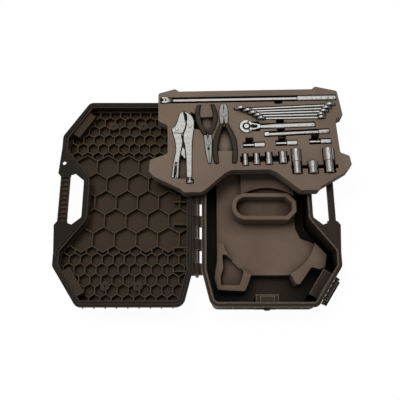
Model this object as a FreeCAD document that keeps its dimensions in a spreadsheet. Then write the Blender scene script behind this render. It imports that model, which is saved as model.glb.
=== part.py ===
import FreeCAD, Part
import math
import os
import Sketcher

# Hard tool case, lying open like a book, with a tool tray laid across it.
# Millimetres, Z up. The origin is the middle of the base's underside.
# +X runs away from the hinge, and Y runs along it.

doc = FreeCAD.newDocument("ToolCase")
sheet = doc.addObject("Spreadsheet::Sheet", "Sizes")

DRIVING_SIZES = {
    # both shells
    "case_length": 542.0, "case_width": 338.0, "hinge_setback": 11.0,
    "rear_cut_across": 22.0, "rear_cut_along": 87.0, "rear_round": 24.0,
    "latch_cut_across": 64.0, "latch_cut_along": 98.0, "corner_round": 18.0,
    "notch_mouth": 262.0, "notch_floor": 98.0, "notch_depth": 62.0, "notch_round": 16.0,
    "wall": 3.2, "floor_wall": 3.5, "flange_reach": 8.0, "flange_thick": 4.5,
    "rim_gap": 0.3, "base_depth": 88.0, "lid_depth": 48.0, "bottom_round": 5.0,
    "tongue_rise": 2.5, "groove_clearance": 0.6, "groove_depth": 5.2, "lid_band": 3.5,
    "lid_band_height": 9.0, "seal_thick": 1.8, "seal_clearance": 0.3,
    "stiffener_thick": 2.0, "stiffener_pitch": 27.0, "stiffener_drop": 30.0,
    "stiffener_inset": 1.5, "overrun": 2.0,
    # handle halves and their end plates
    "handle_width": 25.0, "handle_inset": 3.0, "base_bar_width": 18.0, "handle_length": 134.0, "plate_thick": 5.0,
    "handle_wall": 3.0, "handle_rib_pitch": 12.0, "handle_rib_thick": 1.8,
    "padlock_bore": 10.0, "padlock_along": 97.0, "padlock_edge": 9.0,
    "plate_shoulder": 39.0, "plate_shoulder_along": 68.0, "plate_toe": 10.0, "plate_bulge": 4.5, "plate_root": 9.0,
    "plate_along": 59.0, "window_corner_along": 64.0, "gusset_thick": 3.0,
    "gusset_drop": 16.0,
    # hinge
    "hinge_pin_width": 5.0, "hinge_fit": 0.3, "pin_fit": 0.1, "knuckle_width": 29.0,
    "knuckle_gap": 0.5, "knuckle_outer": 12.0, "hinge_slot_drop": 0.8, "web_thick": 4.5,
    "pin_head_width": 8.0, "pin_head_thick": 4.0, "ledge_gap": 1.0, "ledge_height": 5.0,
    # latches
    "latch_width": 68.0, "latch_pivot_out": 7.0, "latch_pivot_drop": 18.0,
    "latch_plate_thick": 4.0, "latch_hold": 9.6, "latch_lip_thick": 8.0,
    "latch_lip_reach": 11.0, "latch_knuckle": 9.0, "latch_pin": 4.0,
    "latch_pitch": 14.0, "latch_tooth": 6.4, "latch_lug": 6.6, "latch_pull": 5.0,
    "latch_root_gap": 1.0, "latch_round": 1.5,
    "recess_depth": 22.0, "recess_width": 72.0, "recess_top": 26.0, "lid_recess_top": 8.0,
    # pressure valve in the near end wall
    "valve_across": 156.0, "valve_drop": 30.0, "valve_stem": 8.0, "valve_knob": 16.0,
    "valve_knob_thick": 8.0, "valve_seal_thick": 1.5, "valve_nut": 16.0,
    "valve_nut_thick": 5.0, "valve_housing": 54.0, "valve_housing_top": 14.0,
    "valve_housing_depth": 24.0, "valve_step": 4.0, "valve_step_width": 34.0,
    "valve_fit": 0.2, "valve_grip": 1.6,
    # honeycomb and feet of the lid
    "cell_pitch": 27.0, "cell_row": 25.6, "rib_thick": 2.4, "rib_height": 16.0,
    "hex_margin": 3.0, "boss_outer": 22.0, "boss_across": 144.0, "boss_spacing": 80.0,
    "boss_along": 216.0, "foot_length": 116.0, "foot_width": 22.0, "foot_height": 5.0,
    "foot_round": 6.0, "foot_screw": 5.0, "foot_screw_head": 9.5,
    "foot_screw_head_thick": 2.5, "foot_screw_length": 14.0, "screw_fit": 0.25,
    # foam in the base
    "foam_seat": 0.3, "foam_rear": 40.0, "foam_width": 262.0, "foam_length": 464.0,
    "foam_drop": 45.0, "foam_round": 7.0, "dish_width": 238.0, "dish_depth": 14.0,
    "dish_across": 169.0, "dish_along": 73.0, "island_drop": 15.0, "island_length": 161.0,
    "island_width": 70.0, "island_across": 157.5, "island_along": 15.5,
    "trough_wall": 9.5, "trough_depth": 34.0, "island_corner": 4.0, "island_chamfer": 21.0,
    "bin_depth": 24.0, "bin_round": 4.0, "shelf_width": 62.0, "shelf_along": 103.0,
    "lid_gusset_thick": 2.4, "lid_gusset_reach": 40.0, "lid_gusset_drop": 25.0,
    # tray
    "tray_length": 506.0, "tray_width": 290.0, "tray_thick": 31.0, "tray_across": 131.0,
    "tray_along": 152.0, "tray_yaw": 1.2, "tray_round": 7.0, "tray_seat": 0.3,
    "tool_room": 1.2, "tool_seat": 0.3, "finger_depth": 25.0, "shallow_room": 12.0, "finger_width": 21.0,
    "finger_length": 17.0, "tool_sink": 3.0, "dent_room": 6.0,
    # turned tools
    "drive_small": 9.5, "drive_large": 12.7, "socket_round": 1.0,
    "bit_length": 54.0, "bit_body": 14.0, "bit_across": 6.0,
    "breaker_length": 452.0, "breaker_x": 5.0, "breaker_pin": 5.0, "breaker_pin_back": 6.5,
    "breaker_fork": 13.0, "breaker_neck": 6.0, "breaker_taper": 11.0,
    "breaker_fork_width": 15.5, "breaker_tongue": 7.4, "breaker_eye": 11.0,
    "drive_neck": 9.0, "drive_drop": 20.5, "breaker_end_room": 4.0, "breaker_rod": 9.0, "breaker_grip": 15.0, "breaker_grip_length": 102.0,
    "extension_length": 165.0, "extension_x": 122.5, "extension_y": 11.5,
    "extension_turn": 2.0, "extension_rod": 9.0, "extension_end": 14.0,
    # wrenches, standing on edge
    "wrench_shank_thick": 3.6, "wrench_head_thick": 5.6, "wrench_rise": 8.0,
    # ratchet
    "ratchet_length": 176.0, "ratchet_x": -5.0, "ratchet_y": 31.0, "ratchet_turn": 1.0,
    "ratchet_head": 35.0, "ratchet_head_thick": 14.0, "ratchet_grip": 14.0,
    "ratchet_gear": 20.0, "ratchet_knob_rise": 1.2, "ratchet_rise": 3.0,
    "ratchet_screw": 3.0, "lever_gap": 0.3, "lever_thick": 2.5, "lever_width": 8.0,
    "lever_length": 13.0,
    # pliers
    "plier_gap": 0.4, "plier_thick": 10.0, "plier_grip_thick": 14.0, "plier_sink": 3.0,
    "plier_round": 1.2, "plier_grip_round": 2.0, "plier_rivet": 11.0, "rivet_rise": 1.0,
    "long_nose_width": 58.0, "long_nose_length": 167.0,
    "cutters_width": 62.0, "cutters_length": 172.0,
    "locking_width": 60.0, "locking_length": 188.0, "locking_x": -166.0, "locking_y": -23.0,
    "locking_rivet": 7.0, "locking_knob": 17.0, "screw_neck": 8.2, "screw_thread": 7.0,
    "knob_long": 7.4, "channel_depth": 6.0,
}

# Each socket: its length, the width of its two ends, its place in the tray, its heading
SOCKETS = {
    "small_socket_1": (32.0, 13.0, 15.0, -11.8, -61.0, -90),
    "small_socket_2": (31.0, 14.0, 16.0, 16.4, -59.5, -90),
    "small_socket_3": (33.0, 15.5, 17.5, 47.4, -58.5, -90),
    "small_socket_4": (32.0, 18.5, 20.5, 82.4, -57.0, -90),
    "deep_socket_1": (66.0, 24.0, 20.0, 116.0, -68.5, -90),
    "short_socket": (31.5, 25.0, 22.0, 155.6, -85.5, -90),
    "deep_socket_2": (65.0, 28.0, 22.0, 197.0, -67.5, -90),
}
BITS = {
    "bit_socket_1": (12.0, -20.3, 0.6),
    "bit_socket_2": (94.4, -16.7, 0.6),
    "bit_socket_3": (180.0, -14.0, 0.6),
}
# Each wrench: its length, its opening, its place along the tray, its row as a share of the
# tray's width, and its heading
WRENCHES = {
    "wrench_1": (262.0, 17.0, 97.0, 0.297, 1.9),
    "wrench_2": (233.0, 16.0, 101.0, 0.269, 1.4),
    "wrench_3": (209.0, 14.0, 104.0, 0.2405, 0.9),
    "wrench_4": (187.0, 13.0, 106.0, 0.212, 0.4),
    "wrench_5": (177.0, 12.0, 110.0, 0.183, 0.0),
}


class Size:
    """A length that knows its value and how the sheet works it out."""

    def __init__(self, value, text):
        self.value = float(value)
        self.text = text

    def __add__(self, other):
        other = as_size(other)
        return Size(self.value + other.value, f"({self.text} + {other.text})")

    def __sub__(self, other):
        other = as_size(other)
        return Size(self.value - other.value, f"({self.text} - {other.text})")

    def __mul__(self, other):
        other = as_size(other)
        return Size(self.value * other.value, f"({self.text} * {other.text})")

    def __truediv__(self, other):
        other = as_size(other)
        return Size(self.value / other.value, f"({self.text} / {other.text})")

    def __neg__(self):
        return Size(-self.value, f"(-1 * {self.text})")

    __radd__ = __add__
    __rmul__ = __mul__

    def __rsub__(self, other):
        return as_size(other) - self


def as_size(item):
    if isinstance(item, Size):
        return item
    return Size(item, f"({float(item)!r})")


class SizeTable:
    """Every driving size, by its name in the sheet."""


size = SizeTable()


def record_sizes(values):
    for name, value in values.items():
        row = len(vars(size)) + 1
        sheet.set(f"A{row}", name)
        sheet.set(f"B{row}", str(value))
        sheet.setAlias(f"B{row}", name)
        setattr(size, name, Size(value, f"Sizes.{name}"))


def named(name):
    return getattr(size, name)


def record_tools():
    for table, words in ((SOCKETS, ("length", "nut_end", "drive_end", "x", "y")),
                         (BITS, ("x", "y")), (WRENCHES, ("length", "opening", "x", "row", "turn"))):
        for tool, values in table.items():
            record_sizes({f"{tool}_{word}": value for word, value in zip(words, values)})


# How deep a socket's points are cut, and how far apart the rows of cells lie
star_depth_share = 0.96
point_share = 0.667
shoulder_share = 0.333
rib_slope_share = 0.29
coarse_row_share = 0.96
coarse_columns = 3
fine_columns = 6
fine_row_count = 6
level_tolerance = 0.01
round_end_share = 0.96
knob_grip_count = 12

# Outline of the foam at positive Y: across its width, along its half length
foam_shares = [(-0.004, 0.625), (-0.031, 0.815), (0.0, 0.953), (0.252, 0.968), (0.286, 0.879),
               (0.313, 0.784), (0.687, 0.784), (0.748, 0.922), (0.889, 0.703), (0.962, 0.733),
               (1.011, 0.711), (1.038, 0.573), (0.924, 0.431), (0.805, 0.379), (0.76, 0.267),
               (0.756, 0.151)]
bin_shares = [(0.042, 0.56), (0.092, 0.582), (0.244, 0.754), (0.237, 0.797), (0.202, 0.905),
              (0.027, 0.905), (0.023, 0.81), (0.05, 0.72)]

# Outline of the tray at positive X, of its half length and half width
tray_shares = [(0.676, 0.945), (0.71, 1.0), (0.933, 0.9), (0.968, 0.39), (0.886, 0.335),
               (0.899, -0.317), (0.986, -0.38), (1.0, -0.552), (0.949, -0.662), (0.688, -0.924),
               (0.65, -1.0), (0.482, -1.0), (0.432, -0.931), (0.261, -0.669), (0.19, -0.607)]

# Its outline at negative X, of the same halves
tray_left_shares = [(0.7, 0.945), (0.735, 1.0), (0.91, 0.91), (0.91, 0.36), (0.815, 0.27),
                    (0.815, -0.28), (0.99, -0.39), (1.0, -0.6), (0.949, -0.7), (0.7, -0.93),
                    (0.655, -1.0), (0.487, -1.0), (0.432, -0.931), (0.261, -0.669),
                    (0.19, -0.607)]
finger_shares = [(0.324, 0.292), (0.327, 0.134), (0.333, -0.043), (0.665, -0.01), (0.003, -0.054),
                 (0.321, 0.717)]
finger_slot_shares = [(-0.585, 0.526), (-0.529, 0.488), (-0.495, 0.172), (-0.544, 0.186)]
breaker_row_share = 0.383
band_shares = [("small_band", -0.1, 0.39, -0.47, -0.353),
               ("large_band", 0.4, 0.865, -0.61, -0.54)]

# Sockets, bits and wrenches
point_count = 12
socket_step_share = 0.5
socket_opening_share = 0.72
socket_depth_share = 0.45
drive_depth_share = 0.35
bit_drive_share = 0.2
ring_share = 0.86
head_share = 1.05
shank_share = 0.62
jaw_floor_share = 0.3
jaw_slant = 15
fork_height_share = 0.85

# Ratchet
neck_share = 0.72
grip_waist_share = 0.8
head_side_share = 0.8
lever_share = 0.85
screw_head_share = 0.8
ratchet_screw_shares = [(0.3, 0.72), (0.4, -0.68)]

# Pliers, of half their width and of their length, with the rivet at the origin
long_nose_half_shares = [(0.0, -0.329), (0.095, -0.323), (0.252, -0.174), (0.29, -0.081),
                         (0.328, 0.03), (0.328, 0.147), (0.1, 0.147), (0.0, 0.081)]
long_nose_grip_shares = [(0.086, 0.15), (0.348, 0.15), (0.648, 0.251), (0.907, 0.365),
                         (0.99, 0.467), (0.931, 0.551), (0.707, 0.665), (0.448, 0.665),
                         (0.586, 0.557), (0.603, 0.503), (0.476, 0.359), (0.262, 0.246)]
long_nose_gap_shares = [(0.1, 0.17), (0.4, 0.3), (0.6, 0.4), (0.62, 0.45)]
cutters_half_shares = [(0.0, -0.197), (0.123, -0.197), (0.265, -0.158), (0.348, -0.095),
                       (0.375, 0.018), (0.302, 0.141), (0.062, 0.141), (0.0, 0.058)]
cutters_grip_shares = [(0.046, 0.143), (0.314, 0.143), (0.646, 0.267), (0.929, 0.413),
                       (0.994, 0.547), (0.985, 0.634), (0.908, 0.75), (0.8, 0.79),
                       (0.554, 0.78), (0.625, 0.587), (0.569, 0.471), (0.385, 0.331),
                       (0.138, 0.209)]
cutters_gap_shares = [(0.1, 0.19), (0.4, 0.34), (0.62, 0.47), (0.66, 0.58)]
long_nose_at_shares = (-0.2047, -0.0517)
long_nose_turn = 1.9
cutters_at_shares = (-0.122, 0.224)

# Locking pliers, of their whole width and length, about the middle of their outline
locking_shares = {
    "locking_body": [(0.06, 0.54), (0.197, 0.51), (0.377, 0.462), (0.465, 0.386), (0.445, 0.265),
                     (0.4, 0.165), (0.357, 0.046), (0.323, -0.44), (0.12, -0.44),
                     (0.103, -0.149), (0.07, -0.015), (0.0, 0.1), (0.0, 0.19), (0.1, 0.27),
                     (0.15, 0.345), (0.12, 0.4), (0.075, 0.49)],
    "locking_jaw": [(-0.01, 0.54), (0.03, 0.48), (0.085, 0.39), (0.115, 0.345), (0.07, 0.28),
                    (-0.02, 0.205), (-0.05, 0.204), (-0.465, 0.216), (-0.49, 0.281),
                    (-0.36, 0.3), (-0.253, 0.382), (-0.147, 0.503)],
    "locking_lever": [(-0.465, 0.21), (-0.05, 0.198), (-0.03, 0.19), (-0.03, 0.1), (-0.06, 0.03),
                      (-0.137, -0.094), (-0.19, -0.192), (-0.235, -0.44), (-0.513, -0.44),
                      (-0.422, -0.217), (-0.342, -0.102), (-0.315, -0.012), (-0.363, 0.106)],
    "locking_release": [(-0.125, -0.1), (-0.05, 0.01), (0.05, -0.03), (0.085, -0.15),
                        (0.03, -0.17), (-0.04, -0.13)],
}
locking_channel_shares = [(-0.37, -0.22), (-0.27, -0.22), (-0.31, -0.5), (-0.44, -0.5)]
locking_gap_shares = [(-0.2, -0.13), (0.11, -0.13), (0.14, -0.45), (-0.24, -0.45)]
locking_end_share = -0.44
rivet_shares = [(-0.28, 0.262), (0.28, 0.3)]
rivet_carriers = {"locking_jaw": [0], "locking_body": [1]}
screw_share = 0.24


class Frame:
    """A place and a heading about Z, in which pieces are laid out."""

    def __init__(self, x=0, y=0, z=0, heading=0):
        self.origin = (as_size(x), as_size(y), as_size(z))
        self.heading = as_size(heading)
        turn = math.radians(self.heading.value)
        self.cos = Size(math.cos(turn), f"cos({self.heading.text} * 1 deg)")
        self.sin = Size(math.sin(turn), f"sin({self.heading.text} * 1 deg)")

    def spot(self, x, y, z):
        across = self.origin[0] + self.cos * x - self.sin * y
        along = self.origin[1] + self.sin * x + self.cos * y
        return across, along, self.origin[2] + z


HOME = Frame()
QUARTER_TURN = 90
HALF_TURN = 180
FULL_TURN = 360
AXIS_TURNS = {"X": (0, QUARTER_TURN, 0), "Y": (0, 0, -QUARTER_TURN), "Z": (0, 0, 0)}


def bind(target, prop, term):
    target.setExpression(prop, as_size(term).text)


def place(target, frame=HOME, spot=(0, 0, 0), turns=(0, 0, 0)):
    """Put a piece at a spot of a frame, turned by yaw, pitch and roll in degrees."""
    base = "; ".join(as_size(term).text for term in frame.spot(*spot))
    yaw = frame.heading + turns[0]
    angles = "; ".join(as_size(term).text for term in (yaw, turns[1], turns[2]))
    target.setExpression("Placement", f"create(<<placement>>; create(<<vector>>; {base}); "
                                      f"create(<<rotation>>; {angles}))")


def block(name, low, high, frame=HOME):
    solid = doc.addObject("Part::Box", name)
    for prop, start, end in zip(("Length", "Width", "Height"), low, high):
        bind(solid, prop, as_size(end) - start)
    place(solid, frame, low)
    return solid


def rod(name, start, radius, length, axis="Z", frame=HOME):
    solid = doc.addObject("Part::Cylinder", name)
    bind(solid, "Radius", radius)
    bind(solid, "Height", length)
    place(solid, frame, start, AXIS_TURNS[axis])
    return solid


def cross_rod(name, middle, radius, length, frame=HOME):
    """A rod along Y, centred on its middle."""
    start = (middle[0], middle[1] - as_size(length) / 2, middle[2])
    return rod(name, start, radius, length, "Y", frame)


def fuse(name, pieces):
    joined = doc.addObject("Part::MultiFuse", name)
    joined.Shapes = pieces
    joined.Refine = True
    return joined


def cut(name, base, tools):
    tool = tools[0] if len(tools) == 1 else fuse(name + "_cuts", tools)
    result = doc.addObject("Part::Cut", name)
    result.Base = base
    result.Tool = tool
    result.Refine = True
    return result


def common(name, pieces):
    shared = doc.addObject("Part::MultiCommon", name)
    shared.Shapes = pieces
    return shared


def corner_ends(before, here, after, radius):
    """Where a corner's arc starts and ends, and its centre."""
    back = (before - here).normalize()
    ahead = (after - here).normalize()
    half_angle = back.getAngle(ahead) / 2
    reach = radius / math.tan(half_angle)
    centre = here + (back + ahead).normalize() * (radius / math.sin(half_angle))
    return here + back * reach, here + ahead * reach, centre


def hold_point(rules, bindings, geometry, position, spot):
    for kind, term in zip(("DistanceX", "DistanceY"), spot):
        term = as_size(term)
        bindings.append((len(rules), term))
        rules.append(Sketcher.Constraint(kind, -1, 1, geometry, position, term.value))


def draw_outline(sketch, corners):
    """A closed outline. Each corner is x, y and, where it is rounded, a radius."""
    count = len(corners)
    points = [FreeCAD.Vector(as_size(c[0]).value, as_size(c[1]).value, 0) for c in corners]
    ends = []
    for index, corner in enumerate(corners):
        here = points[index]
        after = points[(index + 1) % count]
        if len(corner) > 2:
            ends.append(corner_ends(points[index - 1], here, after, as_size(corner[2]).value))
        else:
            ends.append((here, here, None))
    shapes = [Part.LineSegment(ends[i][1], ends[(i + 1) % count][0]) for i in range(count)]
    rules = []
    bindings = []
    helpers = []
    for index, corner in enumerate(corners):
        last_line = (index - 1) % count
        entry, leave, centre = ends[index]
        if centre is None:
            rules.append(Sketcher.Constraint("Coincident", last_line, 2, index, 1))
            hold_point(rules, bindings, index, 1, corner[:2])
            continue
        radius = as_size(corner[2])
        before = points[index - 1]
        after = points[(index + 1) % count]
        turns_left = (points[index] - before).cross(after - points[index]).z > 0
        first, last = (entry, leave) if turns_left else (leave, entry)
        start_angle = math.atan2(first.y - centre.y, first.x - centre.x)
        end_angle = math.atan2(last.y - centre.y, last.x - centre.x)
        circle = Part.Circle(centre, FreeCAD.Vector(0, 0, 1), radius.value)
        arc = len(shapes)
        shapes.append(Part.ArcOfCircle(circle, start_angle, end_angle))
        mark = len(shapes)
        shapes.append(Part.Point(points[index]))
        helpers.append(mark)
        entry_end, leave_end = (1, 2) if turns_left else (2, 1)
        rules.append(Sketcher.Constraint("Tangent", last_line, 2, arc, entry_end))
        rules.append(Sketcher.Constraint("Tangent", index, 1, arc, leave_end))
        rules.append(Sketcher.Constraint("PointOnObject", mark, 1, last_line))
        rules.append(Sketcher.Constraint("PointOnObject", mark, 1, index))
        bindings.append((len(rules), radius))
        rules.append(Sketcher.Constraint("Radius", arc, radius.value))
        hold_point(rules, bindings, mark, 1, corner[:2])
    finish_sketch(sketch, shapes, helpers, rules, bindings)


def draw_circle(sketch, x, y, radius):
    centre = FreeCAD.Vector(as_size(x).value, as_size(y).value, 0)
    shapes = [Part.Circle(centre, FreeCAD.Vector(0, 0, 1), as_size(radius).value)]
    rules = [Sketcher.Constraint("Radius", 0, as_size(radius).value)]
    bindings = [(0, as_size(radius))]
    hold_point(rules, bindings, 0, 3, (x, y))
    finish_sketch(sketch, shapes, [], rules, bindings)


def finish_sketch(sketch, shapes, helpers, rules, bindings):
    sketch.addGeometry(shapes, False)
    for mark in helpers:
        sketch.setConstruction(mark, True)
    sketch.addConstraint(rules)
    for index, term in bindings:
        sketch.setExpression(f"Constraints[{index}]", term.text)


def outline(name, corners):
    sketch = doc.addObject("Sketcher::SketchObject", name)
    draw_outline(sketch, corners)
    return sketch


def offset(name, source, distance):
    line = doc.addObject("Part::Offset2D", name)
    line.Source = source
    line.Join = "Intersection"
    bind(line, "Value", distance)
    return line


def prism(name, line, low, high):
    solid = doc.addObject("Part::Extrusion", name)
    solid.Base = line
    solid.DirMode = "Custom"
    solid.Dir = FreeCAD.Vector(0, 0, 1)
    solid.Solid = True
    bind(solid, "LengthFwd", high)
    bind(solid, "LengthRev", -as_size(low))
    return solid


def ring(name, line, outer, inner, low, high):
    """The band between two offsets of an outline."""
    outside = prism(name + "_outside", offset(name + "_outer_line", line, outer), low, high)
    inside = prism(name + "_inside", offset(name + "_inner_line", line, inner),
                   as_size(low) - size.overrun, as_size(high) + size.overrun)
    return cut(name, outside, [inside])


def rounded(name, source, radius, chosen):
    """Round the edges of a solid that a test on their middles picks out."""
    doc.recompute()
    edges = source.Shape.Edges
    solid = doc.addObject("Part::Fillet", name)
    solid.Base = source
    solid.Edges = [(i + 1, radius.value, radius.value) for i, e in enumerate(edges)
                   if chosen(e)]
    return solid


def body_of(name):
    body = doc.addObject("PartDesign::Body", name)
    body.Label = name
    return body


def flat_sketch(body, name, plane="XY", level=0):
    sketch = body.newObject("Sketcher::SketchObject", name)
    role = plane + "_Plane"
    support = [item for item in body.Origin.OriginFeatures if item.Role == role][0]
    sketch.AttachmentSupport = [(support, "")]
    sketch.MapMode = "FlatFace"
    bind(sketch, "AttachmentOffset.Base.z", level)
    return sketch


def pad(body, name, sketch, height):
    feature = body.newObject("PartDesign::Pad", name)
    feature.Profile = sketch
    bind(feature, "Length", height)
    return feature


def pad_outline(body, name, corners, low, high, plane="XY"):
    sketch = flat_sketch(body, name + "_outline", plane, low)
    draw_outline(sketch, corners)
    return pad(body, name, sketch, as_size(high) - low)


def pad_circle(body, name, x, y, radius, low, high, plane="XY"):
    sketch = flat_sketch(body, name + "_circle", plane, low)
    draw_circle(sketch, x, y, radius)
    return pad(body, name, sketch, as_size(high) - low)


def pocket(body, name, sketch, depth, reverse=False):
    feature = body.newObject("PartDesign::Pocket", name)
    feature.Profile = sketch
    feature.Reversed = reverse
    bind(feature, "Length", depth)
    return feature


def pocket_outline(body, name, corners, level, depth, plane="XY", reverse=False):
    sketch = flat_sketch(body, name + "_outline", plane, level)
    draw_outline(sketch, corners)
    return pocket(body, name, sketch, depth, reverse)


def pocket_circle(body, name, x, y, radius, level, depth, plane="XY", reverse=False):
    sketch = flat_sketch(body, name + "_circle", plane, level)
    draw_circle(sketch, x, y, radius)
    return pocket(body, name, sketch, depth, reverse)


def turn_profile(body, name, stations):
    """A turned piece about the body's own X axis: x and radius at each step."""
    corners = [(stations[0][0], 0)] + stations + [(stations[-1][0], 0)]
    sketch = flat_sketch(body, name + "_profile")
    draw_outline(sketch, corners)
    feature = body.newObject("PartDesign::Revolution", name)
    feature.Profile = sketch
    feature.ReferenceAxis = (sketch, ["H_Axis"])
    feature.Angle = FULL_TURN
    return feature


def soften(body, feature, name, radius, chosen):
    doc.recompute()
    edges = feature.Shape.Edges
    names = [f"Edge{i + 1}" for i, edge in enumerate(edges) if chosen(edge)]
    fillet = body.newObject("PartDesign::Fillet", name)
    fillet.Base = (feature, names)
    bind(fillet, "Radius", radius)
    return fillet


def oblong(length, width, radius, x=0, y=0):
    """The corners of a rounded rectangle about a middle."""
    half_length = as_size(length) / 2
    half_width = as_size(width) / 2
    middle_x = as_size(x)
    middle_y = as_size(y)
    return [(middle_x + half_length * a, middle_y + half_width * b, radius)
            for a, b in ((-1, -1), (1, -1), (1, 1), (-1, 1))]


def star(across, points):
    """A socket opening of so many points, across its flats."""
    outer = as_size(across) / 2 / math.cos(math.pi / 6)
    inner = outer * (math.cos(math.pi / 6) / math.cos(math.pi / 12)) * star_depth_share
    corners = []
    for step in range(2 * points):
        radius = outer if step % 2 == 0 else inner
        turn = math.pi * step / points
        corners.append((radius * math.cos(turn), radius * math.sin(turn)))
    return corners


def square(across, x=0, y=0):
    half = as_size(across) / 2
    return [(as_size(x) + half * a, as_size(y) + half * b)
            for a, b in ((-1, -1), (1, -1), (1, 1), (-1, 1))]


def edge_middle(edge):
    return edge.valueAt((edge.FirstParameter + edge.LastParameter) / 2)


record_sizes(DRIVING_SIZES)
record_tools()

half_length = size.case_length / 2
edge_across = size.hinge_setback + size.case_width
wall_line = size.flange_reach + size.wall
rim_face = -size.rim_gap / 2
hinge_across = -(size.hinge_setback + size.case_width / 2)
tub_half = half_length - size.flange_reach
notch_face = edge_across - size.notch_depth
valve_at = size.hinge_setback + size.valve_across

base_frame = Frame(hinge_across, 0, size.base_depth)
lid_frame = Frame(hinge_across, 0, size.base_depth, HALF_TURN)
latch_heading_value = math.degrees(math.atan2(size.latch_cut_across.value,
                                              size.latch_cut_along.value))
latch_heading = Size(latch_heading_value,
                     f"(atan({size.latch_cut_across.text} / {size.latch_cut_along.text}) / 1 deg)")


def latch_frame(side, drop=0):
    """The middle of a latch corner's edge, with X pointing straight out of it."""
    across = edge_across - size.latch_cut_across / 2
    along = (half_length - size.latch_cut_along / 2) * side
    return Frame(across, along, -as_size(drop), latch_heading * side)


def two_sided(half):
    """An outline from its corners at positive Y, mirrored to negative Y."""
    return half + [(c[0], -as_size(c[1])) + tuple(c[2:]) for c in reversed(half)]


def rim_outline():
    return outline("rim_outline", two_sided([
        (size.hinge_setback, half_length - size.rear_cut_along, size.corner_round),
        (size.hinge_setback + size.rear_cut_across, half_length, size.rear_round),
        (edge_across - size.latch_cut_across, half_length, size.corner_round),
        (edge_across, half_length - size.latch_cut_along, size.corner_round),
        (edge_across, size.notch_mouth / 2, size.corner_round),
        (notch_face, size.notch_floor / 2, size.notch_round),
    ]))


def tub(prefix, rim, depth, rise):
    """The wall and floor of one shell, with the flange round its rim."""
    outer_line = offset(prefix + "_wall_line", rim, -size.flange_reach)
    block_solid = prism(prefix + "_block", outer_line, -depth, rise)
    floor_level = -depth.value
    round_bottom = rounded(prefix + "_round", block_solid, size.bottom_round,
                           lambda e: abs(edge_middle(e).z - floor_level) < level_tolerance)
    flange = prism(prefix + "_flange", rim, -size.flange_thick, rim_face)
    return [round_bottom, flange]


def cavity(prefix, rim, depth):
    inner_line = offset(prefix + "_inner_line", rim, -wall_line)
    return prism(prefix + "_cavity", inner_line, size.floor_wall - depth,
                 size.tongue_rise + size.overrun)


def latch_recess(prefix, side, depth, top):
    """The box behind a latch: its walls, and the finger space that is cut out of it."""
    frame = latch_frame(side)
    inner = -(wall_line + size.recess_depth)
    half_width = size.recess_width / 2
    box = block(f"{prefix}_recess_box_{side + 1}", (inner, -half_width, size.floor_wall / 2 - depth),
                (-size.flange_reach, half_width, -top), frame)
    space = block(f"{prefix}_recess_space_{side + 1}",
                  (inner + size.wall, size.wall - half_width, -depth - size.overrun),
                  (size.overrun, half_width - size.wall, -top - size.wall), frame)
    return box, space


def stiffeners(prefix):
    """The upright ribs outside the two end walls, under the flange."""
    first = size.hinge_setback + size.rear_cut_across + size.rear_round
    span = size.case_width - size.rear_cut_across - size.rear_round - size.latch_cut_across
    count = int(span.value / size.stiffener_pitch.value)
    ribs = []
    for side in (-1, 1):
        low_along, high_along = sorted(((tub_half - size.wall / 2) * side,
                                        (half_length - size.stiffener_inset) * side),
                                       key=lambda term: term.value)
        for step in range(count + 1):
            across = first + size.stiffener_pitch * step
            clear = abs(across.value - valve_at.value) > size.valve_knob.value
            if prefix == "base" and side < 0 and not clear:
                continue
            ribs.append(block(f"{prefix}_stiffener_{side + 1}_{step}",
                              (across, low_along, -size.flange_thick - size.stiffener_drop),
                              (across + size.stiffener_thick, high_along, -size.flange_thick / 2)))
    return ribs


def end_plate(prefix, side):
    """The flat plate between the handle and the case, with the wall along its edge."""
    grip_edge = edge_across - size.handle_inset
    toe = grip_edge - size.handle_width
    shoulder = edge_across - size.plate_shoulder
    bend = size.plate_along + size.plate_toe
    bulge = edge_across + size.plate_bulge
    root = size.notch_mouth / 2 + size.plate_root
    corners = [
        (edge_across, root * side),
        (bulge, bend * side),
        (grip_edge, size.plate_along * side),
        (toe, size.plate_along * side),
        (toe, size.window_corner_along * side),
        (shoulder, size.plate_shoulder_along * side),
        (notch_face, size.notch_floor / 2 * side),
        (notch_face, (size.notch_floor / 2 + size.plate_root * 2) * side),
        (edge_across - size.plate_root, root * side),
    ]
    plate = prism(f"{prefix}_plate_{side + 1}", outline(f"{prefix}_plate_line_{side + 1}", corners),
                  -size.plate_thick, rim_face)
    wall = [(edge_across, root * side), (bulge, bend * side),
            (bulge - size.gusset_thick, bend * side),
            (edge_across - size.gusset_thick, root * side)]
    gusset = prism(f"{prefix}_gusset_{side + 1}", outline(f"{prefix}_gusset_line_{side + 1}", wall),
                   -size.gusset_drop, -size.plate_thick / 2)
    return [plate, gusset]


def half_bar(name, radius, length, top):
    """The lower half of a round bar along Y, under a level."""
    middle = (edge_across - size.handle_inset - size.handle_width / 2, 0, top)
    bar = cross_rod(name + "_bar", middle, radius, length)
    under = block(name + "_under", (middle[0] - size.handle_width, -size.handle_length,
                                    -size.handle_width),
                  (middle[0] + size.handle_width, size.handle_length, top))
    return common(name, [bar, under])


def padlock_hole(prefix, side):
    spot = (edge_across - size.padlock_edge, size.padlock_along * side, -size.handle_width)
    return rod(prefix + "_padlock_hole", spot, size.padlock_bore / 2, size.handle_width * 2)


def knuckles(prefix, spots):
    """Hinge knuckles about the hinge axis, each on a web from the rear wall."""
    pieces = []
    outer = size.knuckle_outer / 2
    half_width = size.knuckle_width / 2
    for index, along in enumerate(spots):
        pieces.append(cross_rod(f"{prefix}_knuckle_{index}", (0, along, 0), outer,
                                size.knuckle_width))
        pieces.append(block(f"{prefix}_web_{index}", (0, along - half_width, -outer),
                            (size.hinge_setback + size.flange_reach, along + half_width,
                             size.web_thick - outer)))
    return pieces


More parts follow.
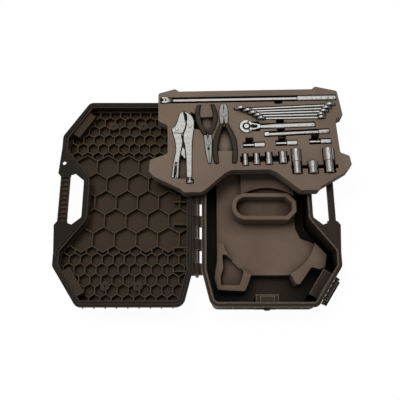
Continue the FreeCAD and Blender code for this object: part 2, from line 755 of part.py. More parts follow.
pitch = (size.knuckle_width + size.knuckle_gap * 2) * 2
base_knuckle_spots = [pitch * step for step in range(-3, 4)]
lid_knuckle_spots = [pitch * (step + 0.5) for step in range(-3, 3)]
hinge_reach = pitch * 3 + size.knuckle_width / 2


def build_base_shell(rim):
    pieces = tub("base", rim, size.base_depth, size.tongue_rise)
    pieces += stiffeners("base")
    hollows = [cavity("base", rim, size.base_depth)]
    later = []
    lugs = []
    bores = []
    for side in (-1, 1):
        box, space = latch_recess("base", side, size.base_depth, size.recess_top)
        later.append(box)
        bores.append(space)
        pieces += end_plate("base", side)
        lugs += latch_lugs(side)
        bores.append(cross_rod(f"base_latch_bore_{side + 1}",
                               (size.latch_pivot_out, 0, -size.latch_pivot_drop),
                               size.latch_pin / 2 + size.pin_fit, size.latch_width * 2,
                               latch_frame(side)))
    pieces += [half_bar("base_handle", size.base_bar_width / 2, size.handle_length, rim_face)]
    pieces += knuckles("base", base_knuckle_spots)
    later += lugs + valve_housing()
    hollow = cut("base_hollow", fuse("base_solid", pieces), hollows)
    bores.append(cross_rod("base_hinge_bore", (0, 0, 0),
                           size.hinge_pin_width / 2 + size.pin_fit, size.case_length))
    bores.append(padlock_hole("base", 1))
    bores.append(rod("base_valve_bore", (valve_at, -half_length, -size.valve_drop),
                     size.valve_stem / 2 + size.valve_fit, size.flange_reach * 3, "Y"))
    boxed = common("base_later", [fuse("base_later_parts", later), base_envelope(rim)])
    shell = cut("base_shell", fuse("base_joined", [hollow, boxed] + [base_valve_boss()]), bores)
    return finish(shell, "base_shell", base_frame)


def base_envelope(rim):
    """Everything that may stand inside the rim or hang under the latch corners."""
    reach = offset("base_reach_line", rim, size.latch_knuckle * 2)
    return prism("base_envelope", reach, -size.base_depth, rim_face)


def latch_lugs(side):
    """Teeth under the rim that hold a latch's pin."""
    frame = latch_frame(side)
    knuckle = size.latch_knuckle / 2
    half = size.latch_lug / 2
    pieces = []
    for step in range(-2, 3):
        along = size.latch_pitch * step
        name = f"lug_{side + 1}_{step + 2}"
        pieces.append(block(name + "_root",
                            (-size.flange_reach - size.wall / 2, along - half,
                             -size.latch_pivot_drop - knuckle),
                            (0, along + half, -size.flange_thick / 2), frame))
        pieces.append(block(name + "_arm", (-size.overrun, along - half,
                                            -size.latch_pivot_drop - knuckle),
                            (size.latch_pivot_out, along + half,
                             knuckle - size.latch_pivot_drop), frame))
        pieces.append(cross_rod(name + "_eye", (size.latch_pivot_out, along,
                                                -size.latch_pivot_drop),
                                knuckle, size.latch_lug, frame))
    return pieces


def valve_housing():
    """A hollow box inside the near wall, round the valve's nut, with a step on its top."""
    half = size.valve_housing / 2
    top = -size.valve_housing_top
    wall_face = -tub_half
    inner = wall_face + size.valve_housing_depth
    low = size.floor_wall / 2 - size.base_depth
    box = block("valve_box", (valve_at - half, wall_face, low), (valve_at + half, inner, top))
    space = block("valve_space", (valve_at - half + size.wall, wall_face + size.wall,
                                  low - size.overrun),
                  (valve_at + half - size.wall, inner - size.wall, top - size.wall))
    step = block("valve_step", (valve_at - size.valve_step_width / 2, wall_face, top - size.wall),
                 (valve_at + size.valve_step_width / 2, inner - size.valve_step,
                  top + size.valve_step))
    return [fuse("valve_house", [cut("valve_house_box", box, [space]), step])]


def base_valve_boss():
    """A thicker pad outside the wall, on which the valve's seal bears."""
    start = (valve_at, -tub_half - size.valve_grip, -size.valve_drop)
    return rod("valve_boss", start, size.valve_knob / 2 + size.wall, size.valve_grip * 2, "Y")


def build_lid_shell(rim):
    pieces = tub("lid", rim, size.lid_depth, rim_face)
    pieces.append(prism("lid_band", rim, -size.lid_band_height, rim_face))
    pieces += stiffeners("lid")
    for side in (-1, 1):
        pieces += end_plate("lid", side)
    pieces += knuckles("lid", lid_knuckle_spots)
    outer = size.knuckle_outer / 2
    pieces.append(block("lid_ledge", (0, -hinge_reach, -outer - size.ledge_height),
                        (size.hinge_setback + size.flange_reach, hinge_reach,
                         -outer - size.ledge_gap)))
    hollow_line = offset("lid_hollow_line", rim, -(wall_line + size.lid_band))
    wide_hollow = prism("lid_wide_hollow", offset("lid_wide_line", rim, -wall_line),
                        size.floor_wall - size.lid_depth, -size.lid_band_height)
    narrow_hollow = prism("lid_narrow_hollow", hollow_line, size.floor_wall - size.lid_depth,
                          size.overrun)
    groove = ring("lid_groove", rim, size.groove_clearance - size.flange_reach,
                  -(wall_line + size.groove_clearance), -size.groove_depth,
                  size.overrun)
    hollow = cut("lid_hollow", fuse("lid_solid", pieces), [wide_hollow, narrow_hollow, groove])
    inside = []
    bores = []
    for side in (-1, 1):
        box, space = latch_recess("lid", side, size.lid_depth, size.lid_recess_top)
        inside.append(box)
        bores.append(space)
    inside += lid_bosses() + lid_gussets()
    ribs = honeycomb(rim, inside)
    fitted = common("lid_inside_fitted", [fuse("lid_inside", inside),
                                          prism("lid_room", offset("lid_room_line", rim,
                                                                   -size.flange_reach),
                                                -size.lid_depth, rim_face)])
    handle = lid_handle()
    bores.append(cross_rod("lid_hinge_bore", (0, 0, 0), size.hinge_pin_width / 2 + size.hinge_fit,
                           size.case_length))
    bores.append(block("lid_pin_slot", (-size.knuckle_outer, -size.case_length,
                                        size.hinge_slot_drop),
                       (outer + size.overrun / 2, size.case_length, size.knuckle_outer)))
    bores.append(padlock_hole("lid", -1))
    bores += boss_bores()
    smooth = cut("lid_smooth", fuse("lid_joined", [hollow, fitted, handle]), bores)
    shell = fuse("lid_shell", [smooth, ribs])
    shell.Refine = False
    return finish(shell, "lid_shell", lid_frame)


def lid_gussets():
    """Thin upright ribs from the hinge wall on to the lid's floor."""
    start = size.hinge_setback + size.flange_reach
    low = size.floor_wall / 2 - size.lid_depth
    half = size.lid_gusset_thick / 2
    return [block(f"lid_gusset_{index}", (start, along - half, low),
                  (start + size.lid_gusset_reach, along + half, -size.lid_gusset_drop))
            for index, along in enumerate(base_knuckle_spots)]


def lid_handle():
    """The lid's half of the grip: a channel with cross ribs."""
    radius = size.handle_width / 2
    outside = half_bar("lid_handle_outside", radius, size.handle_length, rim_face)
    inner_length = size.handle_length - size.handle_wall * 2
    inside = cross_rod("lid_handle_inside", (edge_across - size.handle_inset - radius, 0, rim_face),
                       radius - size.handle_wall, inner_length)
    count = int(inner_length.value / size.handle_rib_pitch.value / 2)
    ribs = []
    for step in range(-count, count + 1):
        along = size.handle_rib_pitch * step
        half = size.handle_rib_thick / 2
        ribs.append(block(f"handle_rib_{step + count}",
                          (edge_across - size.handle_inset - size.handle_width, along - half,
                           -size.handle_width),
                          (edge_across, along + half, rim_face - size.handle_rib_thick)))
    rib_set = common("handle_ribs", [fuse("handle_rib_blocks", ribs),
                                     half_bar("handle_rib_limit", radius, size.handle_length,
                                              rim_face)])
    return fuse("lid_handle", [cut("lid_handle_channel", outside, [inside]), rib_set])


def cell(across, along, pitch_size, row_size, grow=0):
    """A flat six sided cell between ribs, with its points along Y."""
    half = (pitch_size - size.rib_thick).value / 2 + grow
    point = (row_size * point_share - size.rib_thick / 2).value + grow
    shoulder = (row_size * shoulder_share - size.rib_thick * rib_slope_share).value + grow / 2
    x = across.value
    y = along.value
    corners = [(x, y + point), (x - half, y + shoulder), (x - half, y - shoulder), (x, y - point),
               (x + half, y - shoulder), (x + half, y + shoulder), (x, y + point)]
    return Part.Face(Part.makePolygon([FreeCAD.Vector(a, b, 0) for a, b in corners]))


def lattice(middle, columns, rows, pitch_size, row_size):
    """The middles of a field of cells, every other row moved by half a pitch."""
    spots = []
    for row, along in rows:
        shift = pitch_size / 2 if row % 2 else as_size(0)
        for column in range(-columns, columns + 1):
            spots.append((middle + pitch_size * column + shift, as_size(along)))
    return spots


def honeycomb(rim, standing):
    """Ribs on the lid's floor: fine cells at both ends and coarse cells between."""
    low = size.floor_wall / 2 - size.lid_depth
    high = low + size.rib_height + size.floor_wall / 2
    slab = prism("rib_slab", offset("rib_slab_line", rim, -(wall_line - size.wall / 2)), low, high)
    field_line = offset("rib_field_line", rim, -(wall_line + size.hex_margin))
    middle = size.hinge_setback + size.case_width / 2
    coarse_pitch = size.cell_pitch * 2
    coarse_row = size.cell_row * 2 * coarse_row_share
    coarse_spots = lattice(middle, coarse_columns, [(row, coarse_row * row) for row in range(-2, 3)],
                           coarse_pitch, coarse_row)
    start = coarse_row * 2 + size.cell_row
    fine_rows = [(row, (start + size.cell_row * row) * side)
                 for side in (-1, 1) for row in range(fine_row_count)]
    fine_spots = lattice(middle, fine_columns, fine_rows, size.cell_pitch, size.cell_row)
    guard = size.rib_thick.value
    coarse = [cell(x, y, coarse_pitch, coarse_row) for x, y in coarse_spots]
    guards = [cell(x, y, coarse_pitch, coarse_row, guard) for x, y in coarse_spots]
    fine = [cell(x, y, size.cell_pitch, size.cell_row) for x, y in fine_spots]
    doc.recompute()
    field = Part.Face(field_line.Shape.Wires[0])
    flat = Part.makeCompound(coarse + [Part.makeCompound(fine).cut(Part.makeCompound(guards))])
    flat = flat.common(field)
    pockets = doc.addObject("Part::Feature", "rib_pockets")
    level = (size.floor_wall - size.lid_depth).value
    flat.translate(FreeCAD.Vector(0, 0, level))
    pockets.Shape = flat.extrude(FreeCAD.Vector(0, 0, (high + size.overrun).value - level))
    ribs = cut("ribs", slab, [pockets] + standing)
    ribs.Refine = False
    return ribs


def boss_spots():
    return [(size.boss_across + size.boss_spacing * step,
             size.boss_along * side) for side in (-1, 1) for step in range(2)]


def lid_bosses():
    low = size.floor_wall / 2 - size.lid_depth
    return [rod(f"lid_boss_{index}", (across, along, low), size.boss_outer / 2,
                size.rib_height + size.floor_wall / 2)
            for index, (across, along) in enumerate(boss_spots())]


def boss_bores():
    return [rod(f"lid_boss_bore_{index}", (across, along, -size.lid_depth - size.overrun),
                size.foot_screw / 2 + size.screw_fit, size.lid_depth / 2 + size.overrun)
            for index, (across, along) in enumerate(boss_spots())]


PIECES = []


def finish(piece, label, frame=HOME, spot=(0, 0, 0), turns=(0, 0, 0)):
    """Name a sub-part, put it where it belongs and list it for export."""
    piece.Label = label
    place(piece, frame, spot, turns)
    PIECES.append(piece)
    return piece


def build_hinge_pin():
    body = body_of("hinge_pin")
    radius = size.hinge_pin_width / 2
    head = size.pin_head_width / 2
    end = hinge_reach + size.overrun
    turn_profile(body, "pin_turned", [(-end - size.pin_head_thick, head), (-end, head),
                                      (-end, radius), (end, radius)])
    return finish(body, "hinge_pin", base_frame, (0, 0, 0), (QUARTER_TURN, 0, 0))


def build_rim_seal(rim):
    room = size.seal_clearance - size.groove_clearance
    seal = ring("rim_seal", rim, -size.flange_reach - room, -wall_line + room,
                -size.groove_depth, size.seal_thick - size.groove_depth)
    return finish(seal, "rim_seal", lid_frame)


def build_latch(side, name):
    """One latch lever. Its own X runs from its pivot to its lip, and it hangs down."""
    body = body_of(name)
    half = size.latch_width / 2
    knuckle = size.latch_knuckle / 2
    root = knuckle + size.latch_root_gap
    lip_at = size.latch_pivot_drop + size.latch_hold
    lip_end = lip_at + size.latch_lip_thick
    side_view = [
        (root, -size.latch_plate_thick / 2), (lip_end + size.latch_pull, -size.latch_plate_thick / 2),
        (lip_end + size.latch_pull, size.latch_plate_thick / 2),
        (lip_end, size.latch_plate_thick),
        (lip_end, size.latch_lip_reach), (lip_at, size.latch_lip_reach),
        (lip_at, size.latch_plate_thick / 2), (root, size.latch_plate_thick / 2),
    ]
    plate = pad_outline(body, "plate", side_view, -half, half, "XZ")
    soften(body, plate, "plate_round", size.latch_round,
           lambda e: edge_middle(e).z > size.latch_lip_reach.value - level_tolerance)
    tooth = size.latch_tooth / 2
    for step in (-1.5, -0.5, 0.5, 1.5):
        along = size.latch_pitch * step
        pad_circle(body, f"eye_{int(step * 2 + 3)}", 0, 0, knuckle, -along - tooth, -along + tooth,
                   "XZ")
        corners = [(0, -size.latch_plate_thick / 2), (root + size.overrun, -size.latch_plate_thick / 2),
                   (root + size.overrun, size.latch_plate_thick / 2), (0, size.latch_plate_thick / 2)]
        pad_outline(body, f"tooth_{int(step * 2 + 3)}", corners, -along - tooth, -along + tooth, "XZ")
    pocket_circle(body, "bore", 0, 0, size.latch_pin / 2 + size.hinge_fit, -size.latch_width,
                  size.latch_width * 2, "XZ", True)
    frame = latch_frame(side, size.latch_pivot_drop)
    return finish(body, name, in_base(frame), (size.latch_pivot_out, 0, 0), (0, QUARTER_TURN, 0))


def in_base(frame):
    """A frame of the base shell, in the whole part's coordinates."""
    across, along, level = base_frame.spot(*frame.origin)
    return Frame(across, along, level, frame.heading)


def build_latch_pin(side, name):
    body = body_of(name)
    reach = size.latch_pitch * 2 + size.latch_lug / 2
    radius = size.latch_pin / 2
    turn_profile(body, "pin_turned", [(-reach, radius), (reach, radius)])
    frame = latch_frame(side, size.latch_pivot_drop)
    return finish(body, name, in_base(frame), (size.latch_pivot_out, 0, 0), (QUARTER_TURN, 0, 0))


def build_valve():
    """Knob, seal and nut of the pressure valve. Their own X axis points out of the wall."""
    knob = body_of("valve_knob")
    stem = size.valve_stem / 2
    radius = size.valve_knob / 2
    inside = size.valve_grip + size.valve_seal_thick + size.wall + size.valve_nut_thick
    turn_profile(knob, "knob_turned", [
        (-inside, stem), (0, stem), (0, radius), (size.valve_knob_thick - size.valve_grip, radius),
        (size.valve_knob_thick, radius - size.valve_grip)])
    notch = flat_sketch(knob, "grip_notch", "YZ", 0)
    draw_circle(notch, radius, 0, size.valve_grip / 2)
    groove = pocket(knob, "grip", notch, size.valve_knob_thick, True)
    pattern = knob.newObject("PartDesign::PolarPattern", "grips")
    pattern.Originals = [groove]
    pattern.Axis = (notch, ["N_Axis"])
    pattern.Angle = FULL_TURN
    pattern.Occurrences = knob_grip_count
    knob.Tip = pattern
    face = (valve_at, -tub_half - size.valve_grip - size.valve_seal_thick, -size.valve_drop)
    out = (-QUARTER_TURN, 0, 0)
    finish(knob, "valve_knob", base_frame, face, out)
    seal = body_of("valve_seal")
    flat = flat_sketch(seal, "seal_circle", "YZ", -size.valve_seal_thick)
    draw_circle(flat, 0, 0, radius - size.valve_grip)
    pad(seal, "seal_disc", flat, size.valve_seal_thick)
    pocket_circle(seal, "seal_hole", 0, 0, stem + size.valve_fit, 0, size.valve_seal_thick, "YZ")
    finish(seal, "valve_seal", base_frame, face, out)
    nut = body_of("valve_nut")
    inner_face = -(size.valve_grip + size.valve_seal_thick + size.wall)
    corners = [(size.valve_nut / 2 * math.cos(math.pi * k / 3),
                size.valve_nut / 2 * math.sin(math.pi * k / 3)) for k in range(6)]
    pad_outline(nut, "nut_pad", corners, inner_face - size.valve_nut_thick, inner_face, "YZ")
    pocket_circle(nut, "nut_hole", 0, 0, stem + size.pin_fit, inner_face, size.valve_nut_thick, "YZ")
    finish(nut, "valve_nut", base_frame, face, out)


def build_feet():
    middle = size.boss_across + size.boss_spacing / 2
    feet = []
    for side in (-1, 1):
        line = outline(f"foot_line_{side + 1}", oblong(size.foot_length, size.foot_width,
                                                     size.foot_round, middle,
                                                     size.boss_along * side))
        feet.append(prism(f"foot_{side + 1}", line, -size.lid_depth - size.foot_height,
                          -size.lid_depth))
    sinks = []
    low = -size.lid_depth - size.foot_height
    for index, (across, along) in enumerate(boss_spots()):
        sinks.append(rod(f"foot_sink_{index}", (across, along, low - size.overrun),
                         size.foot_screw_head / 2 + size.screw_fit,
                         size.foot_screw_head_thick + size.overrun))
        sinks.append(rod(f"foot_bore_{index}", (across, along, low), size.foot_screw / 2
                         + size.screw_fit, size.foot_height * 2))
    finish(cut("lid_feet", fuse("foot_pair", feet), sinks), "lid_feet", lid_frame)
    screws = []
    for index, (across, along) in enumerate(boss_spots()):
        screws.append(rod(f"screw_head_{index}", (across, along, low), size.foot_screw_head / 2,
                          size.foot_screw_head_thick))
        screws.append(rod(f"screw_shank_{index}", (across, along, low), size.foot_screw / 2,
                          size.foot_screw_length))
    finish(fuse("lid_foot_screws", screws), "lid_foot_screws", lid_frame)


def build_base_foam():
    rear = size.hinge_setback + size.foam_rear
    half = size.foam_length / 2
    half_line = [(rear + size.foam_width * a, half * b, size.foam_round) for a, b in foam_shares]
    line = outline("foam_line", [(c[0], -c[1], c[2]) for c in half_line]
                   + [c for c in reversed(half_line)])
    low = size.floor_wall + size.foam_seat - size.base_depth
    slab = prism("foam_slab", line, low, -size.foam_drop)
    dish_middle = (size.hinge_setback + size.dish_across, -size.dish_along,
                   -size.foam_drop - size.dish_depth)
    dish = rod("foam_dish", dish_middle, size.dish_width / 2, size.dish_depth + size.overrun)
    island = prism("foam_island", outline("island_line", island_corners(0)), low,
                   -size.island_drop)
    trough = prism("foam_trough", outline("trough_line", island_corners(size.trough_wall)),
                   -size.island_drop - size.trough_depth, size.overrun)
    shelf = block("foam_shelf", (rear - size.overrun * 4, -size.shelf_along,
                                 -size.foam_drop - size.dish_depth),
                  (rear + size.shelf_width, size.shelf_along, size.overrun))
    bins = []
    for side in (-1, 1):
        corners = [(rear + size.foam_width * a, half * b * side, size.bin_round)
                   for a, b in bin_shares]
        bins.append(prism(f"foam_bin_{side + 1}", outline(f"bin_line_{side + 1}", corners),
                          -size.foam_drop - size.bin_depth, size.overrun))
    lower = cut("foam_lower", slab, [dish, shelf] + bins)
    foam = cut("base_foam", fuse("foam_whole", [lower, island]), [trough])
    return finish(foam, "base_foam", base_frame)


def island_corners(inset):
    middle_x = size.hinge_setback + size.island_across
    length = size.island_length / 2 - inset
    width = size.island_width / 2 - inset
    chamfer = size.island_chamfer - as_size(inset) / 2
    big = width * round_end_share
    small = size.island_corner
    along = -size.island_along
    return [(middle_x - length, along - width, big),
            (middle_x + length - chamfer, along - width, small),
            (middle_x + length, along - width + chamfer, small),
            (middle_x + length, along + width - chamfer, small),
            (middle_x + length - chamfer, along + width, small),
            (middle_x - length, along + width, big)]


tray_frame = Frame(hinge_across + size.tray_across, size.tray_along,
                   size.base_depth + size.tongue_rise + size.tray_seat, size.tray_yaw)
tray_cuts = []


def u_channel(name, middle, length, radius, axis="X", turn=0):
    """A round bottomed pocket in the tray, open at the top, with room round the tool."""
    frame = on_tray_flat(middle, turn if axis == "X" else turn + QUARTER_TURN)
    half = as_size(length) / 2 + size.tool_room
    wide = as_size(radius) + size.tool_room
    low = -(wide - size.tool_room + size.tool_seat)
    tray_cuts.append(block(name + "_room", (-half, -wide, low), (half, wide, size.tray_thick),
                           frame))


def on_tray_flat(middle, turn):
    return Frame(middle[0], middle[1], middle[2], turn)


def fitted_room(name, corners, low, frame, room=None):
    """A pocket in the tray that follows an outline of a tool's own frame."""
    line = outline(name + "_room_line", corners)
    wide = offset(name + "_room_edge", line, size.tool_room if room is None else room)
    solid = prism(name + "_room", wide, low, size.tray_thick)
    place(solid, frame)
    tray_cuts.append(solid)


def seat(piece, label, middle, turn=0):
    """Lay a tool in the tray, its own origin at a spot of the tray."""
    return finish(piece, label, tray_frame, middle, (turn, 0, 0))


def build_socket(name, x, y, turn):
    """A turned socket: points in one end and a square drive in the other."""
    length = named(name + "_length")
    nut = named(name + "_nut_end") / 2
    drive = named(name + "_drive_end") / 2
    half = length / 2
    step = length * socket_step_share
    body = body_of(name)
    turn_profile(body, "turned", [
        (-half, nut - size.socket_round), (-half + size.socket_round, nut),
        (-half + step, nut), (-half + step + size.socket_round, drive),
        (half - size.socket_round, drive), (half, drive - size.socket_round)])
    pocket_outline(body, "points", star(nut * 2 * socket_opening_share, point_count), -half,
                   length * socket_depth_share, "YZ", True)
    pocket_outline(body, "drive", square(size.drive_small), half, length * drive_depth_share, "YZ")
    radius = nut if nut.value > drive.value else drive
    level = size.tray_thick - size.tool_sink
    seat(body, name, (x, y, level), turn)
    u_channel(name, (x, y, level), length, radius, "X", turn)


def build_bit(name, x, y, turn):
    length = size.bit_length
    half = length / 2
    body = body_of(name)
    shank = size.bit_body / 2
    turn_profile(body, "turned", [
        (0, size.bit_across / 2 + size.socket_round), (size.socket_round, shank),
        (half - size.socket_round, shank), (half, shank - size.socket_round)])
    corners = [(size.bit_across / math.sqrt(3) * math.cos(math.pi * k / 3),
                size.bit_across / math.sqrt(3) * math.sin(math.pi * k / 3)) for k in range(6)]
    pad_outline(body, "bit", corners, -half, size.socket_round, "YZ")
    pocket_outline(body, "drive", square(size.drive_small), half, length * bit_drive_share, "YZ")
    level = size.tray_thick - size.tool_sink
    seat(body, name, (x, y, level), turn)
    u_channel(name, (x, y, level), length, shank, "X", turn)


def build_wrench(name, x, y, turn):
    """A combination wrench standing on edge: ring at +X, jaw at -X."""
    length = named(name + "_length")
    jaw = named(name + "_opening")
    ring_radius = jaw * ring_share
    head_radius = jaw * head_share
    half = length / 2
    ring_at = half - ring_radius
    head_at = head_radius - half
    thin = size.wrench_shank_thick / 2
    thick = size.wrench_head_thick / 2
    body = body_of(name)
    narrow = jaw * shank_share / 2
    corners = [(head_at, -narrow), (ring_at, -narrow), (ring_at, narrow), (head_at, narrow)]
    pad_outline(body, "shank", corners, -thin, thin, "XZ")
    pad_circle(body, "ring", ring_at, 0, ring_radius, -thick, thick, "XZ")
    pad_circle(body, "head", head_at, 0, head_radius, -thick, thick, "XZ")
    points = [(ring_at + c[0], c[1]) for c in star(jaw, point_count)]
    pocket_outline(body, "ring_points", points, thick, thick * 2, "XZ")
    slot = math.radians(jaw_slant)
    local = [(jaw * -2, -jaw / 2), (jaw * jaw_floor_share, -jaw / 2),
             (jaw * jaw_floor_share, jaw / 2), (jaw * -2, jaw / 2)]
    corners = [(head_at + as_size(a) * math.cos(slot) - as_size(b) * math.sin(slot),
                as_size(a) * math.sin(slot) + as_size(b) * math.cos(slot)) for a, b in local]
    pocket_outline(body, "jaw", corners, thick, thick * 2, "XZ")
    level = size.tray_thick + size.wrench_rise - ring_radius
    seat(body, name, (x, y, level), turn)
    room = size.tool_room
    low = -(head_radius + size.tool_seat)
    frame = on_tray_flat((x, y, level), turn)
    tray_cuts.append(block(name + "_room", (-half - room, -thick - room, low),
                           (half + room, thick + room, size.tray_thick), frame))


def build_breaker_bar():
    """Long bar with a fork at -X, in which the drive head hangs from its pin."""
    half = size.breaker_length / 2
    level = size.tray_thick - size.tool_sink
    at = (size.breaker_x, size.tray_width * breaker_row_share, level)
    pin_x = size.breaker_pin_back - half
    neck = size.breaker_fork - half
    cheek = size.breaker_fork_width / 2
    tongue = size.breaker_tongue / 2
    rod_radius = size.breaker_rod / 2
    grip = size.breaker_grip / 2
    grip_at = half - size.breaker_grip_length
    low_cheek = cheek * fork_height_share
    bar = body_of("breaker_bar")
    turn_profile(bar, "turned", [
        (neck, low_cheek), (neck + size.breaker_neck, cheek),
        (neck + size.breaker_neck + size.breaker_taper, rod_radius),
        (grip_at, rod_radius), (grip_at + size.socket_round * 2, grip),
        (half - size.socket_round * 2, grip), (half, grip - size.socket_round * 2)])
    corners = [(-half, -low_cheek), (neck + size.overrun, -low_cheek),
               (neck + size.overrun, low_cheek), (-half, low_cheek)]
    pad_outline(bar, "fork", corners, -cheek, cheek, "XZ")
    slot = [(-half - size.overrun, -cheek * 2), (neck - size.overrun / 2, -cheek * 2),
            (neck - size.overrun / 2, cheek * 2), (-half - size.overrun, cheek * 2)]
    pocket_outline(bar, "fork_slot", slot, tongue + size.hinge_fit,
                   (tongue + size.hinge_fit) * 2, "XZ")
    pocket_circle(bar, "pin_hole", pin_x, 0, size.breaker_pin / 2 + size.pin_fit, size.case_length,
                  size.case_length * 2, "XZ")
    seat(bar, "breaker_bar", at)
    head = body_of("breaker_head")
    eye = size.breaker_eye / 2
    pad_circle(head, "eye", pin_x, 0, eye, -tongue, tongue, "XZ")
    flat = [(pin_x - eye, -size.drive_neck - size.overrun), (pin_x + eye, -size.drive_neck - size.overrun),
            (pin_x + eye, 0), (pin_x - eye, 0)]
    pad_outline(head, "tongue", flat, -tongue, tongue, "XZ")
    pad_outline(head, "drive", square(size.drive_large, pin_x), -size.drive_drop, -size.drive_neck)
    pocket_circle(head, "pin_hole", pin_x, 0, size.breaker_pin / 2 + size.hinge_fit,
                  size.case_length, size.case_length * 2, "XZ")
    seat(head, "breaker_head", at)
    pin = body_of("breaker_pin")
    turn_profile(pin, "turned", [(-cheek, size.breaker_pin / 2), (cheek, size.breaker_pin / 2)])
    seat(pin, "breaker_pin", (at[0] + pin_x, at[1], level), QUARTER_TURN)
    u_channel("breaker", at, size.breaker_length, cheek)
    drive = size.drive_large / 2 + size.tool_room
    frame = on_tray_flat(at, 0)
    tray_cuts.append(block("breaker_drive_room",
                           (-half - size.breaker_end_room, -drive, -size.drive_drop - size.tool_room),
                           (pin_x + drive, drive, size.tray_thick), frame))
    tray_cuts.append(block("breaker_end_room",
                           (-half - size.breaker_end_room, -cheek - size.tool_room, -low_cheek),
                           (pin_x, cheek + size.tool_room, size.tray_thick), frame))


def build_ratchet():
    level = size.tray_thick - size.ratchet_head_thick / 2 + size.ratchet_rise
    at = (size.ratchet_x, size.ratchet_y, level)
    radius = size.ratchet_head / 2
    half_thick = size.ratchet_head_thick / 2
    grip = size.ratchet_grip / 2
    neck = grip * neck_share
    bore = size.ratchet_gear / 2 + size.hinge_fit
    body = body_of("ratchet_body")
    turn_profile(body, "handle", [
        (radius, neck), (radius * 2, neck), (radius * 3, grip * grip_waist_share),
        (radius * 4, grip), (size.ratchet_length - size.socket_round * 2, grip),
        (size.ratchet_length, grip - size.socket_round * 2)])
    corners = [(0, -radius * head_side_share), (radius * 2, -neck), (radius * 2, neck),
               (0, radius * head_side_share)]
    pad_outline(body, "web", corners, -neck, neck)
    last = pad_circle(body, "head", 0, 0, radius, -half_thick, half_thick)
    soften(body, last, "head_round", size.socket_round,
           lambda e: abs(edge_middle(e).z) > half_thick.value - level_tolerance)
    pocket_circle(body, "gear_bore", 0, 0, bore, half_thick, half_thick * 2)
    for index, (a, b) in enumerate(ratchet_screw_shares):
        pocket_circle(body, f"screw_hole_{index}", radius * a, radius * b,
                      size.ratchet_screw / 2 + size.pin_fit, half_thick, half_thick)
    pocket_circle(body, "lever_hole", radius * lever_share, 0, size.ratchet_screw / 2
                  + size.hinge_fit, half_thick, half_thick)
    seat(body, "ratchet_body", at, size.ratchet_turn)
    drive = body_of("ratchet_drive")
    gear = size.ratchet_gear / 2
    pad_circle(drive, "gear", 0, 0, gear, -half_thick, half_thick + size.ratchet_knob_rise)
    pad_outline(drive, "drive", square(size.drive_small), -half_thick - size.drive_small, -half_thick)
    seat(drive, "ratchet_drive", at, size.ratchet_turn)
    lever = body_of("ratchet_lever")
    post = radius * lever_share
    pad_circle(lever, "post", post, 0, size.ratchet_screw / 2, half_thick - size.ratchet_screw,
               half_thick + size.lever_gap + size.lever_thick)
    pad_circle(lever, "boss", post, 0, size.lever_width / 2, half_thick + size.lever_gap,
               half_thick + size.lever_gap + size.lever_thick)
    arm = [(post, -size.lever_width / 3), (post + size.lever_length, -size.lever_width / 4),
           (post + size.lever_length, size.lever_width / 4), (post, size.lever_width / 3)]
    pad_outline(lever, "arm", arm, half_thick + size.lever_gap,
                half_thick + size.lever_gap + size.lever_thick)
    seat(lever, "ratchet_lever", at, size.ratchet_turn)
    screws = []
    turned = Frame(0, 0, 0, 0)
    for index, (a, b) in enumerate(ratchet_screw_shares):
        spot = (radius * a, radius * b, half_thick - size.ratchet_screw)
        screws.append(rod(f"ratchet_shank_{index}", spot, size.ratchet_screw / 2,
                          size.ratchet_screw, "Z", turned))
        screws.append(rod(f"ratchet_head_{index}", (spot[0], spot[1], half_thick),
                          size.ratchet_screw * screw_head_share, size.lever_gap * 2, "Z", turned))
    seat(fuse("ratchet_screws", screws), "ratchet_screws", at, size.ratchet_turn)
    frame = on_tray_flat(at, size.ratchet_turn)
    room = size.tool_room
    low = -half_thick - size.tool_seat
    tray_cuts.append(rod("ratchet_head_room", (0, 0, low), radius + room, size.tray_thick, "Z",
                         frame))
    tray_cuts.append(block("ratchet_handle_room", (0, -grip - room, -grip - size.tool_seat),
                           (size.ratchet_length + room, grip + room, size.tray_thick), frame))
    tray_cuts.append(block("ratchet_web_room", (0, -radius * head_side_share, low),
                           (radius * 2, radius * head_side_share, size.tray_thick), frame))
    tray_cuts.append(rod("ratchet_drive_room", (0, 0, low - size.drive_small),
                         size.drive_small, size.tray_thick, "Z", frame))


def build_extension_bar():
    half = size.extension_length / 2
    rod_radius = size.extension_rod / 2
    end = size.extension_end / 2
    at = (size.extension_x, size.extension_y, size.tray_thick - size.tool_sink)
    body = body_of("extension_bar")
    turn_profile(body, "turned", [
        (size.drive_small - half, rod_radius), (half - size.extension_end * 2, rod_radius),
        (half - size.extension_end * 2 + size.socket_round * 2, end),
        (half - size.socket_round, end), (half, end - size.socket_round)])
    pad_outline(body, "drive", square(size.drive_small), -half, size.drive_small - half
                + size.overrun, "YZ")
    pocket_outline(body, "socket", square(size.drive_small + size.hinge_fit), half,
                   size.drive_small, "YZ")
    seat(body, "extension_bar", at, size.extension_turn)
    u_channel("extension", at, size.extension_length, end, "X", size.extension_turn)


def plier_points(shares, side, width, length):
    corners = [((size.plier_gap / 2 + width * a) * side, length * b) for a, b in shares]
    return corners if side > 0 else corners[::-1]


